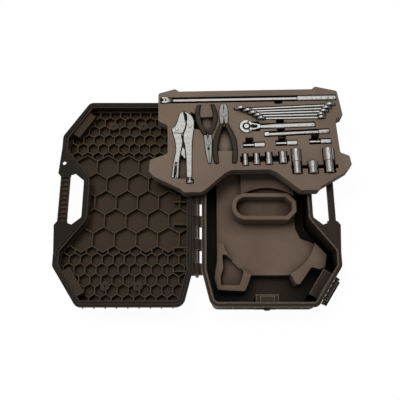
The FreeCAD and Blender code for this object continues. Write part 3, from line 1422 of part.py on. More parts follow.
def build_pliers(name, place_shares, turn, half_shares, grip_shares, gap_shares):
    """Two crossed halves on a rivet, each with a dipped grip; jaws at -Y of its own frame."""
    width = named(name + "_width") / 2
    length = named(name + "_length")
    thick = size.plier_thick / 2
    grip = size.plier_grip_thick / 2
    rivet = size.plier_rivet / 2
    level = size.tray_thick - size.plier_sink
    at = (size.tray_length * place_shares[0], size.tray_width * place_shares[1], level)
    for side, side_name in ((-1, "left"), (1, "right")):
        jaw = body_of(f"{name}_{side_name}")
        last = pad_outline(jaw, "forged", plier_points(half_shares, side, width, length),
                           -thick, thick)
        soften(jaw, last, "forged_round", size.plier_round,
               lambda e: edge_middle(e).z > thick.value - level_tolerance
               and abs(edge_middle(e).x) > size.plier_gap.value)
        pocket_circle(jaw, "rivet_hole", 0, 0, rivet + size.pin_fit, thick, thick * 2)
        seat(jaw, f"{name}_{side_name}", at, turn)
        dipped = body_of(f"{name}_grip_{side_name}")
        last = pad_outline(dipped, "dip", plier_points(grip_shares, side, width, length),
                           -grip, grip)
        soften(dipped, last, "dip_round", size.plier_grip_round,
               lambda e: abs(edge_middle(e).z) > grip.value - level_tolerance)
        seat(dipped, f"{name}_grip_{side_name}", at, turn)
    pin = body_of(f"{name}_rivet")
    pad_circle(pin, "rivet", 0, 0, rivet, -thick, thick + size.rivet_rise)
    seat(pin, f"{name}_rivet", at, turn)
    frame = on_tray_flat(at, turn)
    for side, side_name in ((-1, "left"), (1, "right")):
        fitted_room(f"{name}_{side_name}", plier_points(half_shares, side, width, length),
                    -thick - size.tool_seat, frame)
        fitted_room(f"{name}_grip_{side_name}", plier_points(grip_shares, side, width, length),
                    -grip - size.tool_seat, frame)
    right = [(width * a, length * b) for a, b in gap_shares]
    left = [(-a, b) for a, b in reversed(right)]
    fitted_room(name + "_gap", right + left, size.plier_sink - size.shallow_room, frame,
                size.socket_round)


def build_locking_pliers():
    """Lock wrench: fixed body with its handle, lower jaw, lever, release and screw."""
    width = size.locking_width
    length = size.locking_length
    thick = size.plier_thick / 2
    at = (size.locking_x, size.locking_y, size.tray_thick - size.plier_sink)
    for label, shares in locking_shares.items():
        piece = body_of(label)
        corners = [(width * a, length * b) for a, b in shares]
        half = thick if label != "locking_release" else thick / 2
        last = pad_outline(piece, "forged", corners, -half, half)
        soften(piece, last, "forged_round", size.plier_round,
               lambda e: edge_middle(e).z > half.value - level_tolerance)
        if label == "locking_lever":
            channel = [(width * a, length * b) for a, b in locking_channel_shares]
            pocket_outline(piece, "channel", channel, half, size.channel_depth)
        if label in rivet_carriers:
            for index in rivet_carriers[label]:
                a, b = rivet_shares[index]
                pocket_circle(piece, f"rivet_hole_{index}", width * a, length * b,
                              size.locking_rivet / 2 + size.pin_fit, thick, thick * 2)
        seat(piece, label, at)
    rivets = []
    for index, (a, b) in enumerate(rivet_shares):
        rivets.append(rod(f"locking_rivet_{index}", (width * a, length * b, -thick),
                          size.locking_rivet / 2, thick * 2 + size.rivet_rise))
    seat(fuse("locking_rivets", rivets), "locking_rivets", at)
    screw = body_of("locking_screw")
    start = length * locking_end_share
    radius = size.locking_knob / 2
    turn_profile(screw, "turned", [
        (0, size.screw_thread / 2), (size.screw_neck, size.screw_thread / 2),
        (size.screw_neck, radius - size.socket_round), (size.screw_neck + size.socket_round, radius),
        (size.screw_neck + size.knob_long - size.socket_round, radius),
        (size.screw_neck + size.knob_long, radius - size.socket_round)])
    screw_at = (at[0] + width * screw_share, at[1] + start, at[2])
    seat(screw, "locking_screw", screw_at, -QUARTER_TURN)
    frame = on_tray_flat(at, 0)
    room = size.tool_room
    low = -thick - size.tool_seat
    for label, shares in locking_shares.items():
        fitted_room(label, [(width * a, length * b) for a, b in shares], low, frame)
    fitted_room("locking_gap", [(width * a, length * b) for a, b in locking_gap_shares],
                size.plier_sink - size.shallow_room, frame, size.socket_round)
    tray_cuts.append(block("locking_knob_room",
                           (width * screw_share - radius - room,
                            start - size.screw_neck - size.knob_long - room,
                            -radius - size.tool_seat),
                           (width * screw_share + radius + room,
                            start - size.screw_neck / 2, size.tray_thick), frame))
    neck = size.screw_thread / 2 + room
    tray_cuts.append(block("locking_neck_room",
                           (width * screw_share - neck, start - size.screw_neck, low),
                           (width * screw_share + neck, start + room, size.tray_thick), frame))


def build_tool_tray():
    half = size.tray_length / 2
    depth = size.tray_width / 2
    right = [(half * a, depth * b, size.tray_round) for a, b in tray_shares]
    left = [(-half * a, depth * b, size.tray_round) for a, b in reversed(tray_left_shares)]
    slot = [(half * a, depth * b) for a, b in finger_slot_shares]
    tray_cuts.append(prism("finger_slot", outline("finger_slot_line", slot),
                           size.tray_thick - size.finger_depth, size.tray_thick + size.overrun))
    slab = prism("tray_slab", outline("tray_line", right + left), 0, size.tray_thick)
    for index, (x, y) in enumerate(finger_shares):
        corners = oblong(size.finger_width, size.finger_length, size.socket_round * 2, half * x,
                         depth * y)
        tray_cuts.append(prism(f"finger_{index}", outline(f"finger_line_{index}", corners),
                               size.tray_thick - size.finger_depth, size.tray_thick
                               + size.overrun))
    for name, low_x, high_x, low_y, high_y in band_shares:
        tray_cuts.append(block(name, (half * low_x, depth * low_y,
                                      size.tray_thick - size.finger_depth),
                               (half * high_x, depth * high_y, size.tray_thick + size.overrun)))
    dent_half = size.knuckle_outer / 2 + size.dent_room
    dent_top = size.knuckle_outer / 2 - size.tongue_rise + size.overrun / 2
    tray_cuts.append(block("hinge_dent", (-dent_half - size.tray_across, -size.tray_width,
                                          -size.overrun),
                           (dent_half - size.tray_across, size.tray_width, dent_top)))
    finish(cut("tool_tray", slab, tray_cuts), "tool_tray", tray_frame)


rim = rim_outline()
build_base_shell(rim)
build_lid_shell(rim)
build_hinge_pin()
build_rim_seal(rim)
for side, word in ((1, "far"), (-1, "near")):
    build_latch(side, f"latch_{word}")
    build_latch_pin(side, f"latch_pin_{word}")
build_valve()
build_feet()
build_base_foam()
for tool in SOCKETS:
    build_socket(tool, named(tool + "_x"), named(tool + "_y"), SOCKETS[tool][-1])
for tool in BITS:
    build_bit(tool, named(tool + "_x"), named(tool + "_y"), BITS[tool][-1])
for tool in WRENCHES:
    build_wrench(tool, named(tool + "_x"), size.tray_width * named(tool + "_row"),
                 named(tool + "_turn"))
build_breaker_bar()
build_ratchet()
build_extension_bar()
build_pliers("long_nose", long_nose_at_shares, long_nose_turn, long_nose_half_shares,
             long_nose_grip_shares, long_nose_gap_shares)
build_pliers("cutters", cutters_at_shares, HALF_TURN, cutters_half_shares, cutters_grip_shares,
             cutters_gap_shares)
build_locking_pliers()
build_tool_tray()

doc.recompute()
problems = [item.Name for item in doc.Objects if "Invalid" in item.State or "Error" in item.State]
problems += [piece.Label for piece in PIECES if piece.Shape.isNull() or not piece.Shape.isValid()]
if problems:
    raise RuntimeError("These objects failed: " + ", ".join(problems))
os.makedirs("parts", exist_ok=True)
for piece in PIECES:
    piece.Shape.exportStep(f"parts/{piece.Label}.step")
    print(piece.Label, len(piece.Shape.Solids), round(piece.Shape.Volume))
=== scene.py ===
import math

import bpy
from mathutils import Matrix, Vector


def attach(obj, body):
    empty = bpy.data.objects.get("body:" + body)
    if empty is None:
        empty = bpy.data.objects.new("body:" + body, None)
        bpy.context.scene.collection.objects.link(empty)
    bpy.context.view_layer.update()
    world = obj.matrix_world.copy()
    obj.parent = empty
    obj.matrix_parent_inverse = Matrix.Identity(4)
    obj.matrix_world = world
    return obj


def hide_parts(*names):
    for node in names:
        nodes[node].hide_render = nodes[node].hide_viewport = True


# A hard tool case lying open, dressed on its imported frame.
# Metres, Z up: +X from the hinge towards the base's grip, +Y along the hinge.

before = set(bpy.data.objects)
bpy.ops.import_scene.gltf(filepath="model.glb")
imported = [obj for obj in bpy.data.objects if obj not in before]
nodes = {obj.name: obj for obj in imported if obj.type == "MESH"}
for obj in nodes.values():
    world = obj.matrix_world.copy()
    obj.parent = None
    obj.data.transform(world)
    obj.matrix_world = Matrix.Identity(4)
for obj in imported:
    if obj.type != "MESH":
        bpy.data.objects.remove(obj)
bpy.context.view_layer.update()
bpy.ops.object.select_all(action="DESELECT")
print(len(nodes), "CAD nodes loaded")


def linearColour(hexText):
    channels = []
    for start in (1, 3, 5):
        share = int(hexText[start:start + 2], 16) / 255
        channels.append(share / 12.92 if share <= 0.04045 else ((share + 0.055) / 1.055) ** 2.4)
    return (*channels, 1.0)


def addNode(tree, kind, settings=None, links=None):
    # a setting goes to the node itself, or else to its socket of that name or number
    node = tree.nodes.new(kind)
    for name, value in (settings or {}).items():
        if isinstance(name, str) and hasattr(node, name):
            setattr(node, name, value)
        else:
            node.inputs[name].default_value = value
    for name, source in (links or {}).items():
        tree.links.new(source, node.inputs[name])
    return node


def newMaterial(name):
    material = bpy.data.materials.new(name)
    material.use_nodes = True
    material.node_tree.nodes.clear()
    return material, material.node_tree


photoView = {
    "place": (-0.17325, -0.5018, 1.4553),   # metres, from the photograph's vanishing lines
    "tilt": 20.0,                           # degrees from straight down
    "lens": 52.4, "sensor": 36.0,           # millimetres
    "near": 0.05, "far": 20,                # what the camera can see, metres
}


def makeCamera(view):
    data = bpy.data.cameras.new("photoCamera")
    data.lens = view["lens"]
    data.sensor_width = view["sensor"]
    data.clip_start = view["near"]
    data.clip_end = view["far"]
    camera = bpy.data.objects.new("photoCamera", data)
    bpy.context.scene.collection.objects.link(camera)
    camera.location = view["place"]
    camera.rotation_euler = (math.radians(view["tilt"]), 0, 0)
    bpy.context.scene.camera = camera


whiteRoom = {
    "fill": 0.4,                 # what the white ceiling gives a matt surface
    "fillLow": 0.2,              # the share of it that comes from the walls' foot
    # how bright metal sees the room, by height from its floor to its ceiling
    "byHeight": [(0.0, 0.3), (0.3, 0.12), (0.5, 0.5), (0.7, 0.95), (0.885, 1.0),
                 (0.945, 0.5), (0.98, 1.0), (1.0, 0.5)],
    # and from its left wall to its right
    "byWidth": [(0.0, 0.9), (0.2, 0.45), (0.4, 1.0), (0.6, 1.0), (0.67, 0.1), (0.78, 0.06),
                (0.83, 0.9), (0.88, 0.1), (1.0, 0.4)],
}


def makeRoom(room):
    world = bpy.data.worlds.new("whiteRoom")
    bpy.context.scene.world = world
    world.use_nodes = True
    tree = world.node_tree
    tree.nodes.clear()
    rays = addNode(tree, "ShaderNodeLightPath")
    sky = addNode(tree, "ShaderNodeTexCoord")
    parts = addNode(tree, "ShaderNodeSeparateXYZ", None, {0: sky.outputs["Generated"]})

    # the eye sees plain white, and matt surfaces a ceiling that fades towards the floor
    ceiling = addNode(tree, "ShaderNodeMapRange",
                      {"To Min": room["fill"] * room["fillLow"], "To Max": room["fill"]},
                      {"Value": parts.outputs["Z"]})
    plain = addNode(tree, "ShaderNodeBackground", {"Color": (1, 1, 1, 1)},
                    {"Strength": ceiling.outputs[0]})
    white = addNode(tree, "ShaderNodeBackground", {"Color": (1, 1, 1, 1), "Strength": 1.0})
    seen = addNode(tree, "ShaderNodeMath", {"operation": "MAXIMUM"},
                   {0: rays.outputs["Is Camera Ray"], 1: rays.outputs["Is Transmission Ray"]})
    matt = addNode(tree, "ShaderNodeMixShader", None,
                   {0: seen.outputs[0], 1: plain.outputs[0], 2: white.outputs[0]})

    # metal sees the same white room with dark gaps between its soft boxes
    across = addNode(tree, "ShaderNodeMath", {"operation": "MULTIPLY_ADD", 1: 0.5, 2: 0.5},
                     {0: parts.outputs["X"]})
    shades = []
    for source, marks in ((parts.outputs["Z"], room["byHeight"]),
                          (across.outputs[0], room["byWidth"])):
        ramp = addNode(tree, "ShaderNodeValToRGB", None, {0: source})
        ramp.color_ramp.interpolation = "EASE"
        ready = ramp.color_ramp.elements   # a new ramp already has its first two marks
        for index, (position, shade) in enumerate(marks):
            mark = ready[index] if index < 2 else ready.new(position)
            mark.position = position
            mark.color = (shade, shade, shade, 1)
        shades.append(ramp.outputs[0])
    product = addNode(tree, "ShaderNodeMath", {"operation": "MULTIPLY"},
                      {0: shades[0], 1: shades[1]})
    shaded = addNode(tree, "ShaderNodeBackground", {"Strength": 1.0}, {0: product.outputs[0]})
    both = addNode(tree, "ShaderNodeMixShader", None,
                   {0: rays.outputs["Is Glossy Ray"], 1: matt.outputs[0], 2: shaded.outputs[0]})
    addNode(tree, "ShaderNodeOutputWorld", None, {0: both.outputs[0]})


lamps = {
    "keyLamp": {"place": (-0.75, 0.25, 2.2), "power": 36.0, "size": 0.8},   # watts, metres
    "topLamp": {"place": (0.35, 0.5, 2.1), "power": 6.0, "size": 1.2},
}
lampsAimAt = Vector((-0.1, 0, 0.05))


def makeLamp(name, values):
    data = bpy.data.lights.new(name, "AREA")
    data.shape = "SQUARE"
    data.size = values["size"]
    data.energy = values["power"]
    lamp = bpy.data.objects.new(name, data)
    bpy.context.scene.collection.objects.link(lamp)
    lamp.location = values["place"]
    aim = lampsAimAt - Vector(values["place"])
    lamp.rotation_euler = aim.to_track_quat("-Z", "Y").to_euler()
    lamp.visible_glossy = False  # the room's own shades are what metal shows


floorLook = {
    "colour": "#fdfdfd",
    "glow": 0.97,                # share of plain white that the camera sees on the floor
    "size": 8, "place": (-0.16, 0, -0.0005),   # metres, half a millimetre below the case
}


def makeFloor(look):
    # painted board: white to the eye, and it still takes a faint shadow
    material, tree = newMaterial("paleFloor")
    rays = addNode(tree, "ShaderNodeLightPath")
    matt = addNode(tree, "ShaderNodeBsdfDiffuse", {"Color": linearColour(look["colour"])})
    glow = addNode(tree, "ShaderNodeEmission", {"Color": (1, 1, 1, 1), "Strength": 1.0})
    share = addNode(tree, "ShaderNodeMath", {"operation": "MULTIPLY", 1: look["glow"]},
                    {0: rays.outputs["Is Camera Ray"]})
    mix = addNode(tree, "ShaderNodeMixShader", None,
                  {0: share.outputs[0], 1: matt.outputs[0], 2: glow.outputs[0]})
    addNode(tree, "ShaderNodeOutputMaterial", None, {0: mix.outputs[0]})
    bpy.ops.mesh.primitive_plane_add(size=look["size"], location=look["place"])
    floor = bpy.context.object
    floor.name = "floor"
    bpy.ops.object.transform_apply(location=True, rotation=True, scale=True)
    floor.data.materials.append(material)


def paintShadeInHollows(tree, look, colour):
    # painted shade: the colour is darkened in corners and slots, where little light can reach
    around = addNode(tree, "ShaderNodeAmbientOcclusion",
                     {"samples": 8, "Distance": look["hollowReach"]})
    share = addNode(tree, "ShaderNodeMapRange",
                    {"From Min": look["hollowFrom"], "From Max": look["hollowTo"]},
                    {"Value": around.outputs["AO"]})
    mix = addNode(tree, "ShaderNodeMix",
                  {"data_type": "RGBA", 6: linearColour(look["hollow"])}, {0: share.outputs[0]})
    if isinstance(colour, str):
        mix.inputs[7].default_value = linearColour(colour)
    else:
        tree.links.new(colour, mix.inputs[7])
    return mix.outputs[2]


lidPlasticLook = {
    "dark": "#2d2419", "light": "#3c3126",
    "patchScale": 14.0, "patchDetail": 4.0,    # uneven pigment, patches about 70 mm wide
    "rim": "#1d1914",            # painted reflection: the closing rim is coloured darker, for the dark room its smooth face reflects
    "rimLevel": 0.0835,          # where the rim starts, metres above the floor
    "rimBlend": 0.002,
    "edge": "#7c6d5d",           # corners painted pale: a painted highlight, and wear from rubbing
    "edgeWidth": 0.0011,         # metres
    "edgeFrom": 0.995, "edgeTo": 0.9,          # cosines of a corner's turn, plain to fully pale
    "edgeShare": 0.85,
    "hollow": "#110d09",
    "hollowReach": 0.028,        # painted shade in corners, metres
    "hollowFrom": 0.04, "hollowTo": 0.36,
    "grain": 0.0006,             # spark-eroded mould grain, metres; drawn twice its real size
    "grainDetail": 2.0, "grainBump": 0.1,
    "roughness": 0.42, "smoother": 0.07, "rougher": 0.1,
    "ior": 1.49, "specular": 0.16,
}
# the base's copy: paler, wider painted highlights on its edges, a lighter rim, and painted shade
# that is darker and reaches further into its deep hollows
basePlasticLook = dict(lidPlasticLook, rim="#2c241d", edge="#a8988a", edgeWidth=0.002,
                       hollow="#030202", hollowReach=0.1, hollowFrom=0.3, hollowTo=0.8)


def makeMouldedPlastic(look, name):
    # injection-moulded polypropylene: dark brown, a fine satin grain; corners painted paler, a
    # painted highlight that also stands for wear; painted shade in hollows and a painted dark
    # reflection on the rim
    material, tree = newMaterial(name)
    spot = addNode(tree, "ShaderNodeTexCoord").outputs["Object"]
    patches = addNode(tree, "ShaderNodeTexNoise",
                      {"Scale": look["patchScale"], "Detail": look["patchDetail"]},
                      {"Vector": spot})
    colour = addNode(tree, "ShaderNodeMix",
                     {"data_type": "RGBA", 6: linearColour(look["dark"]),
                      7: linearColour(look["light"])}, {0: patches.outputs["Fac"]})
    parts = addNode(tree, "ShaderNodeSeparateXYZ", None, {0: spot})
    # painted reflection: above rimLevel the colour turns to the darker rim colour
    rimShadeMask = addNode(tree, "ShaderNodeMapRange",
                    {"From Min": look["rimLevel"],
                     "From Max": look["rimLevel"] + look["rimBlend"]},
                    {"Value": parts.outputs["Z"]})
    rimShaded = addNode(tree, "ShaderNodeMix",
                    {"data_type": "RGBA", 7: linearColour(look["rim"])},
                    {0: rimShadeMask.outputs[0], 6: colour.outputs[2]})

    # the rounding of each corner, seen by how far its normal leaves the face's own
    around = addNode(tree, "ShaderNodeBevel", {"samples": 6, "Radius": look["edgeWidth"]})
    flat = addNode(tree, "ShaderNodeNewGeometry")
    turn = addNode(tree, "ShaderNodeVectorMath", {"operation": "DOT_PRODUCT"},
                   {0: around.outputs[0], 1: flat.outputs["Normal"]})
    # painted highlight, also standing for wear: sharper corners turn paler
    wearAndHighlight = addNode(tree, "ShaderNodeMapRange",
                   {"From Min": look["edgeFrom"], "From Max": look["edgeTo"],
                    "To Min": 0.0, "To Max": look["edgeShare"]},
                   {"Value": turn.outputs["Value"]})
    wearAndHighlightColour = addNode(tree, "ShaderNodeMix",
                     {"data_type": "RGBA", 7: linearColour(look["edge"])},
                     {0: wearAndHighlight.outputs[0], 6: rimShaded.outputs[2]})

    grain = addNode(tree, "ShaderNodeTexNoise",
                    {"Scale": 1 / look["grain"], "Detail": look["grainDetail"]},
                    {"Vector": spot})
    bump = addNode(tree, "ShaderNodeBump",
                   {"Strength": look["grainBump"], "Distance": look["grain"]},
                   {"Height": grain.outputs["Fac"], "Normal": around.outputs[0]})
    rub = addNode(tree, "ShaderNodeMapRange",
                  {"To Min": look["roughness"] - look["smoother"],
                   "To Max": look["roughness"] + look["rougher"]},
                  {"Value": patches.outputs["Fac"]})
    skin = addNode(tree, "ShaderNodeBsdfPrincipled",
                   {"IOR": look["ior"], "Specular IOR Level": look["specular"]},
                   {"Base Color": paintShadeInHollows(tree, look, wearAndHighlightColour.outputs[2]),
                    "Roughness": rub.outputs[0], "Normal": bump.outputs[0]})
    addNode(tree, "ShaderNodeOutputMaterial", None, {0: skin.outputs[0]})
    return material


trayFoamLook = {
    "dark": "#63544a", "light": "#736458",
    "patchScale": 9.0, "patchDetail": 5.0,     # uneven pigment, patches about 110 mm wide
    "cell": 0.0011,              # closed cells, metres; drawn three times their real size
    "cellShare": 0.35,           # how much of the tone comes from the cells
    "toneFrom": 0.35, "toneTo": 0.95,
    "cellBump": 0.25, "cellDepth": 0.0004,
    "hollow": "#060403",
    "hollowReach": 0.02,         # painted shade in corners, metres
    "hollowFrom": 0.42, "hollowTo": 0.9,
    "roughness": 0.92, "ior": 1.45, "specular": 0.15, "sheen": 0.04,
}
# the base's own foam, with painted shade reaching further from its walls
baseFoamLook = dict(trayFoamLook, dark="#5a4a3f", light="#6e5e52", hollow="#1a120d",
                    hollowReach=0.045, hollowFrom=0.25, hollowTo=1.0)


def makeFoam(look, name):
    # cross-linked polyethylene foam, hot cut: matt, with fine closed cells that catch the light,
    # and painted shade in its corners and pockets
    material, tree = newMaterial(name)
    spot = addNode(tree, "ShaderNodeTexCoord").outputs["Object"]
    patches = addNode(tree, "ShaderNodeTexNoise",
                      {"Scale": look["patchScale"], "Detail": look["patchDetail"]},
                      {"Vector": spot})
    cells = addNode(tree, "ShaderNodeTexVoronoi", {"Scale": 1 / look["cell"]}, {"Vector": spot})
    blend = addNode(tree, "ShaderNodeMath", {"operation": "MULTIPLY_ADD", 1: look["cellShare"]},
                    {0: cells.outputs["Distance"], 2: patches.outputs["Fac"]})
    tone = addNode(tree, "ShaderNodeMapRange",
                   {"From Min": look["toneFrom"], "From Max": look["toneTo"]},
                   {"Value": blend.outputs[0]})
    colour = addNode(tree, "ShaderNodeMix",
                     {"data_type": "RGBA", 6: linearColour(look["dark"]),
                      7: linearColour(look["light"])}, {0: tone.outputs[0]})
    bump = addNode(tree, "ShaderNodeBump",
                   {"Strength": look["cellBump"], "Distance": look["cellDepth"]},
                   {"Height": cells.outputs["Distance"]})
    skin = addNode(tree, "ShaderNodeBsdfPrincipled",
                   {"IOR": look["ior"], "Roughness": look["roughness"],
                    "Specular IOR Level": look["specular"], "Sheen Weight": look["sheen"]},
                   {"Base Color": paintShadeInHollows(tree, look, colour.outputs[2]),
                    "Normal": bump.outputs[0]})
    addNode(tree, "ShaderNodeOutputMaterial", None, {0: skin.outputs[0]})
    return material


# chrome plate over polished steel: a bright mirror with fine scratches
chromeLook = {
    "tint": "#dddbd7",
    "smooth": 0.08, "brushed": 0.1,            # roughness, and what the scratches add to it
    "edgeWidth": 0.0012,                       # rounding of each edge, metres
    "uneven": 0.0006,                          # how far the ground faces wave, metres
    "scratchScale": 90.0, "scratchDetail": 3.0,
    "stretch": (1.0, 8.0, 8.0),                # scratches about 11 mm long, 1.4 mm apart
    "waveScale": 95.0, "waveDetail": 2.0,      # one wave about every 10 mm
    "hollow": "#1b1917",                       # painted shade where a tool lies in its pocket
    "hollowReach": 0.006, "hollowFrom": 0.3, "hollowTo": 0.72,
}
# nickel plate over forged steel: a soft satin that waves with the forging
nickelLook = dict(chromeLook, tint="#d2d0cb", smooth=0.2, edgeWidth=0.002, uneven=0.0011)
# bead-blasted steel: a grey, even sheen
blastedLook = dict(chromeLook, tint="#b5b3ae", smooth=0.34, brushed=0.12, edgeWidth=0.0015,
                   uneven=0.0009)
# zinc-plated rod: duller and a little rough
zincLook = dict(chromeLook, tint="#8e8b84", smooth=0.25, brushed=0.15, edgeWidth=0.0008,
                uneven=0.0003)
# black oxide: a dark skin with a low oily sheen
oxideLook = dict(zincLook, tint="#2a2826", smooth=0.3)


def makeSteel(look, name):
    # every steel here has long faint scratches, and faces that wave a little from the grinding
    material, tree = newMaterial(name)
    spot = addNode(tree, "ShaderNodeTexCoord").outputs["Object"]
    stretched = addNode(tree, "ShaderNodeMapping", {"Scale": look["stretch"]}, {"Vector": spot})
    scratches = addNode(tree, "ShaderNodeTexNoise",
                        {"Scale": look["scratchScale"], "Detail": look["scratchDetail"]},
                        {"Vector": stretched.outputs[0]})
    rough = addNode(tree, "ShaderNodeMapRange",
                    {"To Min": look["smooth"], "To Max": look["smooth"] + look["brushed"]},
                    {"Value": scratches.outputs["Fac"]})
    edge = addNode(tree, "ShaderNodeBevel", {"samples": 8, "Radius": look["edgeWidth"]})
    waves = addNode(tree, "ShaderNodeTexNoise",
                    {"Scale": look["waveScale"], "Detail": look["waveDetail"]},
                    {"Vector": spot})
    ground = addNode(tree, "ShaderNodeBump", {"Strength": 1.0, "Distance": look["uneven"]},
                     {"Height": waves.outputs["Fac"], "Normal": edge.outputs[0]})
    # painted shade: the tint darkens where the tool lies close to its pocket
    skin = addNode(tree, "ShaderNodeBsdfPrincipled", {"Metallic": 1.0},
                   {"Base Color": paintShadeInHollows(tree, look, look["tint"]),
                    "Roughness": rough.outputs[0], "Normal": ground.outputs[0]})
    addNode(tree, "ShaderNodeOutputMaterial", None, {0: skin.outputs[0]})
    return material


# vinyl dipped over steel handles: dark, with a low sheen
vinylLook = {
    "dark": "#1f1810", "light": "#2e251a", "roughness": 0.42,
    "blotchScale": 60.0, "blotchDetail": 3.0,  # faint blotches about 17 mm wide
    "bump": 0.08, "depth": 0.0005,
    "ior": 1.5, "specular": 0.4,
}
# moulded nitrile rubber: nearly black and more matt
rubberLook = dict(vinylLook, dark="#15120f", light="#211c18", roughness=0.6)


def makeRubber(look, name):
    material, tree = newMaterial(name)
    place = addNode(tree, "ShaderNodeTexCoord")
    blotches = addNode(tree, "ShaderNodeTexNoise",
                       {"Scale": look["blotchScale"], "Detail": look["blotchDetail"]},
                       {"Vector": place.outputs["Object"]})
    colour = addNode(tree, "ShaderNodeMix",
                     {"data_type": "RGBA", 6: linearColour(look["dark"]),
                      7: linearColour(look["light"])}, {0: blotches.outputs["Fac"]})
    bump = addNode(tree, "ShaderNodeBump",
                   {"Strength": look["bump"], "Distance": look["depth"]},
                   {"Height": blotches.outputs["Fac"]})
    skin = addNode(tree, "ShaderNodeBsdfPrincipled",
                   {"IOR": look["ior"], "Roughness": look["roughness"],
                    "Specular IOR Level": look["specular"]},
                   {"Base Color": colour.outputs[2], "Normal": bump.outputs[0]})
    addNode(tree, "ShaderNodeOutputMaterial", None, {0: skin.outputs[0]})
    return material


lidPlastic = makeMouldedPlastic(lidPlasticLook, "mouldedPolypropyleneLid")
basePlastic = makeMouldedPlastic(basePlasticLook, "mouldedPolypropyleneBase")
trayFoam = makeFoam(trayFoamLook, "cutFoamTray")
baseFoam = makeFoam(baseFoamLook, "cutFoamBase")
polishedChrome = makeSteel(chromeLook, "polishedChrome")
satinNickel = makeSteel(nickelLook, "satinNickel")
blastedSteel = makeSteel(blastedLook, "blastedSteel")
pinSteel = makeSteel(zincLook, "zincPlatedSteel")
blackOxideAndShade = makeSteel(oxideLook, "blackOxideSteelAndShade")
dippedVinyl = makeRubber(vinylLook, "dippedVinyl")
softRubber = makeRubber(rubberLook, "nitrileRubber")
print("finishes made")

# every other node is a chromed tool
finishes = {
    "base_shell": basePlastic, "lid_shell": lidPlastic, "latch_far": lidPlastic,
    "latch_near": lidPlastic, "valve_knob": lidPlastic, "valve_nut": lidPlastic,
    "hinge_pin": pinSteel, "latch_pin_far": pinSteel, "latch_pin_near": pinSteel,
    "lid_foot_screws": pinSteel, "lid_feet": softRubber,
    "long_nose_left": blastedSteel, "long_nose_right": blastedSteel,
    "long_nose_rivet": blastedSteel, "long_nose_grip_left": dippedVinyl,
    "long_nose_grip_right": dippedVinyl, "cutters_left": blastedSteel,
    "cutters_right": blastedSteel, "cutters_rivet": blastedSteel,
    "cutters_grip_left": dippedVinyl, "cutters_grip_right": dippedVinyl,
    "locking_body": satinNickel, "locking_jaw": satinNickel, "locking_lever": satinNickel,
    "locking_release": satinNickel, "locking_screw": satinNickel,
    "ratchet_lever": blackOxideAndShade, "ratchet_screws": blackOxideAndShade,
}
for nodeName, node in nodes.items():
    node.data.materials.clear()
    node.data.materials.append(finishes.get(nodeName, polishedChrome))
print("CAD nodes dressed")

bpy.context.scene.view_settings.view_transform = "Standard"
makeCamera(photoView)
makeRoom(whiteRoom)
for name, values in lamps.items():
    makeLamp(name, values)
makeFloor(floorLook)
print("camera, room and floor made")

mergeWithin = 0.00002             # metres: points of a CAD mesh that are one
flatWithin = math.radians(1.0)    # triangles that meet flatter than this are one face
sharpFrom = math.radians(35)      # edges that turn more than this are rounded


def copyOfNode(nodeName, pieceName):
    # a CAD node's own mesh, its loose triangles merged into whole faces
    piece = nodes[nodeName].copy()
    piece.data = nodes[nodeName].data.copy()
    piece.parent = None
    piece.name = pieceName
    for key in list(piece.keys()):
        del piece[key]
    bpy.context.scene.collection.objects.link(piece)
    bpy.ops.object.select_all(action="DESELECT")
    piece.select_set(True)
    bpy.context.view_layer.objects.active = piece
    bpy.ops.object.mode_set(mode="EDIT")
    bpy.ops.mesh.select_all(action="SELECT")
    bpy.ops.mesh.remove_doubles(threshold=mergeWithin)
    bpy.ops.mesh.dissolve_limited(angle_limit=flatWithin)
    bpy.ops.object.mode_set(mode="OBJECT")
    return piece


# foam and rubber that stand for CAD solids, each edge softened by its "round" in metres
softPieces = {
    "tool_tray": {"piece": "trayFoamPiece", "round": 0.0012, "body": "tray", "slot": "tray_foam",
                  "material": trayFoam},
    "base_foam": {"piece": "baseFoamPiece", "round": 0.0025, "body": "base", "slot": "base_foam",
                  "material": baseFoam},
    "rim_seal": {"piece": "rimSealCord", "round": 0.0005, "body": "lid", "slot": "seal_rubber",
                 "material": softRubber},
    "valve_seal": {"piece": "valveSealRing", "round": 0.0004, "body": "base",
                   "slot": "seal_rubber", "material": softRubber},
}


def softenPiece(nodeName, values):
    piece = copyOfNode(nodeName, values["piece"])
    bevel = piece.modifiers.new("softEdges", "BEVEL")
    bevel.width = values["round"]
    bevel.segments = 3
    bevel.limit_method = "ANGLE"
    bevel.angle_limit = sharpFrom
    bevel.use_clamp_overlap = True
    bpy.ops.object.modifier_apply(modifier="softEdges")
    bpy.ops.object.shade_smooth_by_angle(angle=sharpFrom)
    piece.data.materials.clear()
    piece.data.materials.append(values["material"])
    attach(piece, values["body"])
    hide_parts(nodeName)
    print(piece.name, len(piece.data.polygons), "faces")


for nodeName, values in softPieces.items():
    softenPiece(nodeName, values)

roundSides = 40                   # sides of a round detail
detailRound = 0.3                 # rounding of a detail's edges, as a share of its thickness


def startDetail(name, fill, width, length):
    # a flat disc or ring of points, left in edit mode with all of it selected
    bpy.ops.object.select_all(action="DESELECT")
    bpy.ops.mesh.primitive_circle_add(vertices=roundSides, radius=0.5, fill_type=fill,
                                      location=(0, 0, 0))
    piece = bpy.context.object
    piece.name = name
    piece.scale = (width, length, 1)
    bpy.ops.object.transform_apply(location=True, rotation=True, scale=True)
    bpy.ops.object.mode_set(mode="EDIT")
    bpy.ops.mesh.select_all(action="SELECT")
    return piece


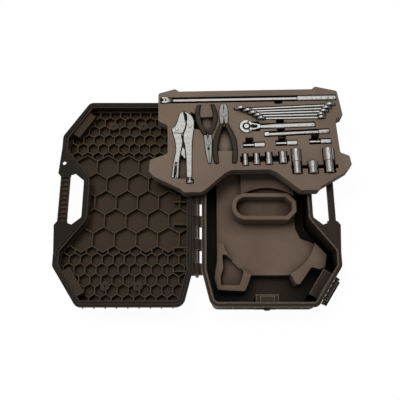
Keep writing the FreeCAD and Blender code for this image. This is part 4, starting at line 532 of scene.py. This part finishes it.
def thicken(thick):
    bpy.ops.mesh.select_all(action="SELECT")
    bpy.ops.mesh.extrude_region_move(TRANSFORM_OT_translate={"value": (0, 0, thick)})
    bpy.ops.mesh.select_all(action="SELECT")
    bpy.ops.mesh.normals_make_consistent(inside=False)
    bpy.ops.object.mode_set(mode="OBJECT")


def finishDetail(piece, values):
    # rounded, laid in place and given to its body
    bevel = piece.modifiers.new("edgeRound", "BEVEL")
    bevel.width = values["thick"] * detailRound
    bevel.segments = 2
    bevel.limit_method = "ANGLE"
    bpy.ops.object.modifier_apply(modifier="edgeRound")
    piece.location = values["place"]
    piece.rotation_euler = (0, 0, math.radians(values["turn"]))
    bpy.ops.object.transform_apply(location=True, rotation=True, scale=True)
    bpy.ops.object.shade_smooth_by_angle(angle=sharpFrom)
    # the black oxide finish, used here as painted shade for the openings and the gear ring
    piece.data.materials.append(blackOxideAndShade)
    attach(piece, values["body"])


# painted shade: thin dark sheets laid over openings that show black between bright jaws and
# flanges;
# each one's middle and size in metres, and its turn in degrees
shadeSheet = {"thick": 0.0004, "body": "tray", "slot": "steel"}
openings = {
    "longNoseCutterHoleShade": {"place": (-0.1516, 0.1204, 0.1237), "size": (0.0060, 0.0085),
                           "turn": 4},
    "lockingMouthShade": {"place": (-0.2100, 0.2096, 0.1237), "size": (0.0085, 0.0250), "turn": 6},
    "lockingChannelShade": {"place": (-0.2162, 0.1425, 0.1237), "size": (0.0046, 0.0400), "turn": 15},
    "leverChannelShade": {"place": (-0.2350, 0.0588, 0.1237), "size": (0.0054, 0.0360), "turn": -8},
    "cutterMouthShade": {"place": (-0.1122, 0.2360, 0.1237), "size": (0.0026, 0.0130), "turn": 0},
}


def makeOpeningShade(name, values):
    piece = startDetail(name, "NGON", *values["size"])
    thicken(shadeSheet["thick"])
    finishDetail(piece, dict(shadeSheet, **values))


for name, values in openings.items():
    makeOpeningShade(name, values)

gearRingShade = {
    "place": (-0.05465, 0.18289, 0.1259), "turn": 0,
    "width": 0.0196, "thick": 0.0005,
    "hole": 0.62,                 # the hole's share of the width
    "body": "ratchet_gear", "slot": "steel",
}


def makeGearRingShade(values):
    # painted shade: a dark ring laid where the quick-release button stands in the head
    piece = startDetail("gearRingShade", "NOTHING", values["width"], values["width"])
    bpy.ops.mesh.extrude_edges_move()
    bpy.ops.transform.resize(value=(values["hole"], values["hole"], 1))
    thicken(values["thick"])
    finishDetail(piece, values)


makeGearRingShade(gearRingShade)
print("details made")
